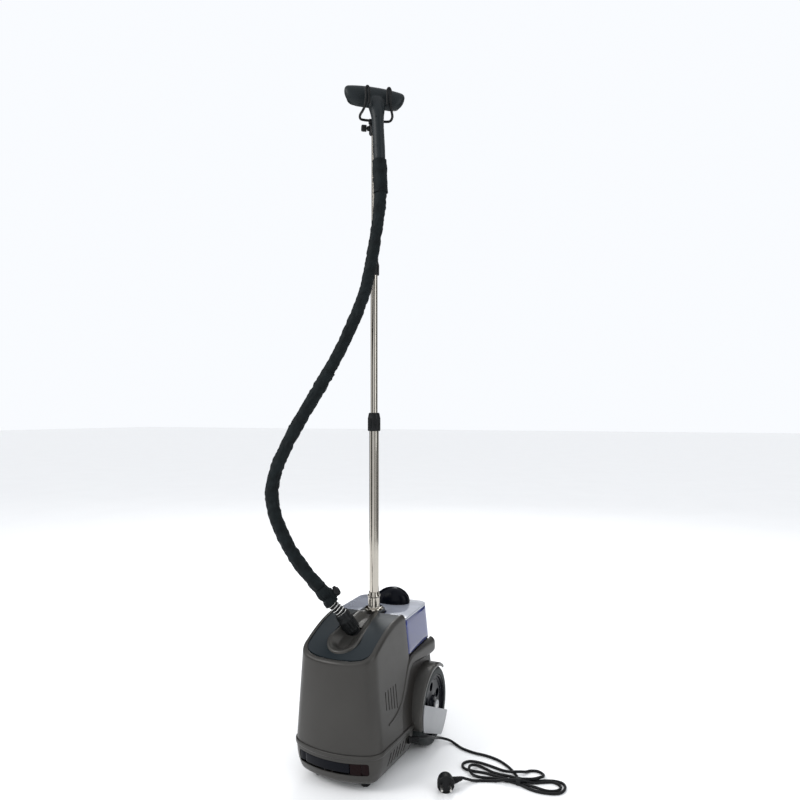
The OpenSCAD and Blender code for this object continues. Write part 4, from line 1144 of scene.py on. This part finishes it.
def make_tyre(side):
    """Solid tyre with grooved shoulders and a tread of shallow blocks."""
    name = "tyre_" + hand(side)
    profile = [(72.2, 0.4), (78, 0), (84, 0.6), (87.5, 2.4), (90, 5.5), (91.6, 9.5), (92, 12),
               (92, 16.6), (90.6, 17.2), (90.6, 18.8), (92, 19.4), (92, 25.4), (90.6, 26), (90.6, 28),
               (92, 28.6), (92, 34.6), (90.6, 35.2), (90.6, 36.8), (92, 37.4), (92, 42), (91.6, 44.5),
               (90, 48.5), (87.5, 51.6), (84, 53.4), (80, 54), (77, 53.2), (75.5, 53.6), (72.2, 53.4)]
    tyre = turned(name + "_rubber", profile, 120, closed=True)
    finish_piece(to_wheel(tyre, side), "wheel_" + hand(side), "tyre", name)


def make_disc(side):
    """Glossy wheel disc: stepped rim, five round hollows and a raised cap on the hub."""
    name = "wheel_disc_" + hand(side)
    profile = [(5.1, 4), (18, 4), (18, 30), (64, 30), (64, 3), (71.8, 3), (71.8, 51.6), (70.6, 52.2),
               (68.4, 52.2), (67.4, 51), (66.4, 47.4), (64.6, 46.2), (62, 46), (60.6, 46.8),
               (58.6, 46.8), (57.4, 45.6), (40, 44.2), (26, 45.2), (23.6, 46.4), (21.4, 50.4),
               (19, 52.2), (14, 53), (9, 53), (8, 52), (5.1, 52)]
    disc = turned(name + "_hub", profile, 120, closed=True)
    for k in range(5):
        a = FULL_TURN * (k + 0.25) / 5
        place = Vector((0.044 * math.cos(a), 0.044 * math.sin(a), 0))
        cut(disc, drum(0.0105, place + mm(0, 0, 34), place + mm(0, 0, 70), 40))
    finish_piece(to_wheel(disc, side), "wheel_" + hand(side), "gloss_black", name, angle=30)


def make_fenders():
    """Satin bands over the wheels, with a lip along the outer edge."""
    section = [(78.6, 95.2), (78.6, 99), (79.6, 100), (134, 100), (138, 99.4), (139.6, 97.6),
               (140, 95), (140, 92), (139.4, 91), (138.4, 91), (137.9, 92), (137.6, 94), (136, 95.2)]
    start, end = math.radians(52), math.radians(192)
    steps = 72
    rings = []
    for k in range(steps + 1):
        a = start + (end - start) * k / steps
        rings.append([Vector((x * MM, WHEEL.y + r * MM * math.cos(a), WHEEL.z + r * MM * math.sin(a)))
                      for x, r in section])
    right = solid("fender_right", rings)
    soften(right, 0.0009, 2, 50)
    notch = block((0.1375, WHEEL.y - 0.006, WHEEL.z + 0.0955), (0.15, WHEEL.y + 0.006, WHEEL.z + 0.11))
    soften(notch, 0.001, 2)
    cut(right, notch)
    finish_pair("fender", right, "satin_trim", "fenders", 40)


def make_guards():
    """Pale panels that hang on the axle ends and close the lower part of each wheel."""
    slope = math.radians(-26)
    inner, thick = 0.140, 0.0025
    up = Vector((0, -math.sin(slope), math.cos(slope)))
    disc = drum(0.0907, (inner, WHEEL.y, WHEEL.z), (inner + thick, WHEEL.y, WHEEL.z), 160)
    for depth, keep_above in ((-0.004, False), (-0.062, True)):
        pick(disc)
        bpy.ops.object.mode_set(mode="EDIT")
        bpy.ops.mesh.select_all(action="SELECT")
        bpy.ops.mesh.bisect(plane_co=WHEEL + up * depth, plane_no=up, use_fill=True,
                            clear_outer=not keep_above, clear_inner=keep_above)
        bpy.ops.object.mode_set(mode="OBJECT")
    hub = drum(0.014, (inner, WHEEL.y, WHEEL.z), (inner + thick, WHEEL.y, WHEEL.z), 64)
    combine(disc, hub, "UNION")
    cut(disc, drum(0.00505, (0.13, WHEEL.y, WHEEL.z), (0.15, WHEEL.y, WHEEL.z), 40))
    soften(disc, 0.0009, 3, 40)
    finish_pair("wheel_guard", disc, "pale_guard", "wheel_guards", 38)


# ---- Hose connector ----

def make_nut():
    """Fluted connector nut with a stepped collar."""
    s = 13
    profile = [(16.8, s, 0), (18.1, s + 0.8, 0), (18.5, s + 2.2, 0), (18.5, s + 4, 0),
               (18.5, s + 5.5, 1.5), (18.5, s + 12, 1.7), (18.5, s + 20, 1.7), (18.5, s + 27, 1.5),
               (18.5, s + 29, 0), (18.4, s + 31, 0), (17.8, s + 32.4, 0), (17.0, s + 35, 0),
               (17.0, s + 37, 0), (16.6, s + 37.4, 0), (16.6, s + 38.6, 0), (17.0, s + 39, 0),
               (17.0, s + 47.6, 0), (16.6, s + 49.2, 0), (15.6, s + 50, 0)]
    nut = fluted("nut_body", profile, 14, 112, 13.5)
    stand(nut, OUTLET, NUT_AXIS)
    finish_piece(nut, "nut", "black_plastic", "connector_nut", angle=32)


# ---- Water tank ----

TANK_LOW, TANK_HIGH = 0.240, 0.323
TANK_FRONT = 0.016
NOTCH_R = 0.030


def notch_outline(grow):
    r = NOTCH_R + grow
    return arc(r, MAST.y, 0, math.pi, 24) + [(-r, -0.05), (r, -0.05)]


def tank_block(name, low, high, inset, front, corner=0.006):
    """A length of the tank's outline: flat front, side walls that follow the body, round back."""
    rings = []
    for z in [low + (high - low) * k / 6 for k in range(7)]:
        back = max(0.025 - inset, 0.005)
        start = REAR - inset - back
        _, side, *_ = plan(z, inset)
        half = [(0, front)]
        half += [(side * k / 8, front) for k in range(1, 8)]
        half += [(side - corner + corner * math.sin(a), front + corner - corner * math.cos(a))
                 for a in [math.pi / 2 * k / 5 for k in range(6)]]
        half += [(side, front + corner + (start - front - corner) * k / 12) for k in range(1, 13)]
        half += [(side - back + back * math.cos(a), start + back * math.sin(a))
                 for a in [math.pi / 2 * k / 8 for k in range(1, 9)]]
        rings.append(level(both_halves(half), z))
    return solid(name, rings)


def prism(name, outline):
    """An outline carried up through the whole top of the base, for cutting."""
    return solid(name, [level(outline, z) for z in (0.2, 0.4)])


def make_tank():
    """Clear blue tank and its pale lid, notched round the mast."""
    tank = tank_block("tank_shell", TANK_LOW, TANK_HIGH - 0.005, 0.0006, TANK_FRONT)
    hollow = tank_block("hollow", TANK_LOW + 0.0025, TANK_HIGH + 0.01, 0.0031, TANK_FRONT + 0.0025, 0.004)
    cut(hollow, prism("notch", notch_outline(0.0025)))
    cut(tank, prism("notch", notch_outline(0)))
    valve_y = middle("valve_cap").y
    cut(tank, hollow, drum(0.01805, (0, valve_y, 0.23), (0, valve_y, 0.25), 64))
    soften(tank, 0.0006, 2, 50)
    finish_piece(tank, "tank", "tank_clear", "tank_body")
    lid = tank_block("tank_lid", TANK_HIGH - 0.0048, TANK_HIGH, 0.0004, TANK_FRONT)
    cut(lid, prism("notch", notch_outline(0)))
    soften(lid, 0.0018, 3, 50)
    finish_piece(lid, "tank", "tank_lid", "tank_top", angle=30)


def make_grip():
    """Glossy dome that the tank is lifted by: steep on the left, sloping away on the right."""
    height = 0.038
    rows, sides = 24, 96
    heart = MAST.y + 0.093
    rings = [[Vector(((8 + 47 * math.cos(a)) * MM, heart + 0.030 * math.sin(a), TANK_HIGH + 0.0002))
              for a in turns(sides)]]
    for row in range(rows):
        t = math.pi / 2 * row / rows
        up = math.sin(t)
        ring = []
        for a in turns(sides):
            out = math.cos(t) ** (0.85 + 0.4 * max(0, math.cos(a)))
            x = (8 + 8 * up ** 1.2) * MM + 0.047 * out * math.cos(a)
            ring.append(Vector((x, heart + 0.030 * out * math.sin(a),
                                TANK_HIGH + 0.0015 + (height - 0.0016) * up)))
        rings.append(ring)
    grip = solid("grip_dome", rings)
    finish_piece(grip, "tank", "gloss_black", "tank_grip", angle=50)


# ---- Mast ----

def make_socket():
    """Chrome socket: wide flange, body with a rolled lip and a narrow ring round the tube."""
    profile = [(11.55, 288), (15, 288), (15, 328.6), (23, 329.2), (23, 332), (22.4, 333.4),
               (20.4, 334.2), (16.6, 334.8), (15.4, 336), (15, 338.4), (15, 358.6), (15.6, 359.6),
               (16, 361), (15.9, 362.8), (15.2, 364), (13.9, 364.3), (13.5, 365.2), (13.5, 370.4),
               (13.1, 371.6), (12.3, 372), (11.55, 372)]
    socket = turned("socket_chrome", profile, 96, closed=True)
    stand(socket, MAST)
    finish_piece(socket, "base", "chrome", "mast_socket", angle=28)


def make_lock(name, body, top, radius, bore, length, lip):
    """Ribbed locking barrel with a tapered lip."""
    low = -length
    profile = [(radius - 2.6, low, 0), (radius - 0.8, low + 0.8, 0), (radius, low + 2.4, 0),
               (radius, low + 6, 0), (radius, low + 7.4, 1.1), (radius, low / 2, 1.2),
               (radius, -1.6, 1.1), (radius, -0.2, 0), (radius, 0.8, 0), (radius - 0.5, 2, 0),
               (radius - 1.4, lip * 0.5, 0), (radius - 2.6, lip - 1, 0), (radius - 3.6, lip, 0)]
    barrel = fluted(name, profile, 16, 128, bore)
    stand(barrel, MAST + Vector((0, 0, top)))
    finish_piece(barrel, body, "black_plastic", body, angle=32)


# ---- Holder and handset, drawn about the mast and then turned ----

HOLDER_TURN = math.radians(33)
UPPER_TOP = 1.532


HOLDER_FRAME = Matrix.Translation(MAST) @ Matrix.Rotation(HOLDER_TURN, 4, "Z")


def placed(obj, frame_matrix):
    """Moves a piece drawn about the mast or the head's middle into place."""
    obj.data.transform(frame_matrix)
    return obj


def make_hooks():
    """Two bent wires: out of the collar, forward under the head, up and back down as a hairpin."""
    hooks = []
    top = UPPER_TOP * 1000
    for s in (-1, 1):
        points = [(s * 11, -17, top - 16), (s * 24, -17, top - 16), (s * 34, -19.5, top - 15.8),
                  (s * 38, -27, top - 15), (s * 38.5, -40, top - 14), (s * 35, -55, top - 12),
                  (s * 31, -64.5, top - 5), (s * 29.3, -69, top + 6), (s * 29, -70.5, top + 17),
                  (s * 29.4, -71, top + 29), (s * 28.4, -71, top + 35.5), (s * 25.5, -71, top + 39),
                  (s * 22.6, -71, top + 35.5), (s * 21.6, -71, top + 29), (s * 21.5, -70, top + 14),
                  (s * 22, -69, top - 2)]
        path = smooth_path([HOLDER_FRAME @ mm(*p) for p in points], 0.0016)
        end = path_length(path)

        def radius(run, a, end=end):
            return 0.003 * min(1, math.sqrt(max(0.04, (end - run) / 0.003)))
        hooks.append(sweep("holder_wire", path, radius, 20))
    wires = join("holder_wires", *hooks)
    finish_piece(wires, "upper", "black_wire", "holder_hooks", angle=50)


def make_collar():
    """Clamp collar with a screw boss and the bridge that carries both wires."""
    low, high = 1490, 1524
    profile = [(6.52, low), (11.6, low), (12.5, low + 1), (12.5, high - 1.2), (11.6, high), (6.52, high)]
    ring = turned("collar", profile, 64, closed=True)
    bridge = block(mm(-15, -20.5, high - 12.5), mm(15, -6, high - 4.5))
    soften(bridge, 0.0016, 3)
    boss = drum(0.006, mm(-17, 0, 1504), mm(-9, 0, 1504), 40)
    soften(boss, 0.0008, 2)
    collar = join("collar_clamp", ring, bridge, boss)
    finish_piece(placed(collar, HOLDER_FRAME), "upper", "black_plastic", "holder_collar")


def make_knob():
    """Eight-lobed knob on its clamp screw."""
    profile = [(4, 0.9, 0), (7.4, 1.4, 0.6), (8, 2.6, 1.0), (8, 10.4, 1.0), (7.6, 12.6, 0.9),
               (6.4, 13.8, 0.5), (4.6, 14, 0)]
    screw = drum(0.003, (0, 0, -0.0105), (0, 0, 0.001), 32)
    knob = join("clamp_knob_grip", fluted("knob", profile, 8, 96), screw)
    stand(knob, mm(-17.5, 0, 1504), (-1, 0, 0))
    finish_piece(placed(knob, HOLDER_FRAME), "knob", "black_plastic", "clamp_knob", angle=40)


HEAD_MID = 1.558
HANDSET_FRAME = (HOLDER_FRAME @ Matrix.Translation((-0.0023, 0, HEAD_MID))
                 @ Matrix.Rotation(math.radians(-2.5), 4, "Y"))
HEAD_FRAME = (HANDSET_FRAME @ Matrix.Translation((-0.003, 0, 0))
              @ Matrix.Rotation(math.radians(6.2), 4, "Y"))


def head_ring(x):
    """Cross-section of the steam head: flat on top, with a lobe below on each side of the neck."""
    ax = abs(x)
    top = 25 - 6 * (ax / 72) ** 2
    if ax > 64.5:
        top -= 8 - math.sqrt(max(0, 64 - (ax - 64.5) ** 2))
    low = -23.5
    if ax > 38.5:
        low += 34 - math.sqrt(max(0, 34 ** 2 - (ax - 38.5) ** 2))
    depth = 15.4 * math.sqrt(max(0.02, 1 - (ax / 74) ** 6))
    mid, half = (top + low) / 2, max((top - low) / 2, 0.4)
    ring = []
    for a in turns(48):
        c, d = math.cos(a), math.sin(a)
        ring.append(mm(x, -42 + depth * math.copysign(abs(c) ** 0.85, c),
                       mid + half * math.copysign(abs(d) ** 0.85, d)))
    return ring


def make_handset():
    """Steam head and handle as one smooth moulding: two lobes, a neck and a slim grip."""
    stations = [72.4 * math.sin(math.pi / 2 * k / 30) for k in range(-30, 31)]
    head = solid("head", [head_ring(x) for x in stations])
    placed(head, HEAD_FRAME)
    rings = []
    for z, r, y in [(-155, 13.4, -60), (-149, 14, -60), (-125, 14.4, -60), (-90, 14, -60),
                    (-70, 14, -60), (-54, 15, -59.5), (-40, 17.4, -57.5), (-28, 20, -54),
                    (-14, 22, -49), (-3, 23.5, -44)]:
        rings.append([mm(r * math.cos(a), y + min(r, 15.4) * math.sin(a), z) for a in turns(48)])
    neck = placed(solid("neck", rings), HANDSET_FRAME)
    body = join("handset_shell", head, neck)
    modify(body, "REMESH", mode="VOXEL", voxel_size=0.0014, adaptivity=0)
    modify(body, "SMOOTH", factor=0.5, iterations=12)
    # Flat back for the plate, hollow handle, two rings round it and a small vent dimple
    cut(body, placed(block(mm(-90, -30.6, -60), mm(90, 20, 60)), HEAD_FRAME))
    cut(body, placed(drum(0.0115, mm(0, -60, -170), mm(0, -60, -56), 48), HANDSET_FRAME))
    for z in (-125, -121):
        deselect()
        bpy.ops.mesh.primitive_torus_add(major_radius=0.0147, minor_radius=0.0007,
                                         location=mm(0, -60, z), major_segments=64, minor_segments=8)
        cut(body, placed(settle(bpy.context.object, "groove"), HANDSET_FRAME))
    cut(body, placed(drum(0.0016, mm(-6, -80, -57), mm(-6, -72, -57), 24), HANDSET_FRAME))
    finish_piece(body, "handset", "handset_slate", "handle", "head_shell",
                 angle=45)


def make_cuff():
    """Gathered cloth cuff over the hose, open below so that the hose can slide up into it."""
    path = [mm(0, -60, z) for z in range(-231, -154)]
    folds = cloth_radius(0.0176, 31.0, ends=((0.070, 0.006, 0.0016), (0.012, 0.004, 0.0006)))
    skin = sweep("cuff", path, lambda run, a: max(folds(run, a), 0.0166), 72, caps=False)
    thicken(skin, 0.0006)
    cuff = placed(skin, HANDSET_FRAME)
    finish_piece(cuff, "handset", "sleeve_cloth", "handle_cuff", angle=180)


# ---- Put everything together ----

set_studio()
for make in (make_front_shell, make_skirt, make_tray, make_rear_housing, make_side_trims, make_top_panel,
             make_outlet_bezel, make_front_strip, make_springs, make_feet):
    make()
for side in (-1, 1):
    make_tyre(side)
    make_disc(side)
for make in (make_fenders, make_guards, make_nut, make_tank, make_grip, make_socket):
    make()
make_lock("lower_barrel", "lower_lock", 0.795, 15.5, 11.6, 31, 14)
make_lock("upper_barrel", "upper_lock", 1.170, 12.5, 8.6, 25, 11.3)
for make in (make_hooks, make_collar, make_knob, make_handset, make_cuff):
    make()

slots = {part["node"]: part["material_slot"] for part in frame["record"]["subparts"]}
for node, obj in frame["nodes"].items():
    obj.data.materials.clear()
    obj.data.materials.append(FINISH[slots[node]])
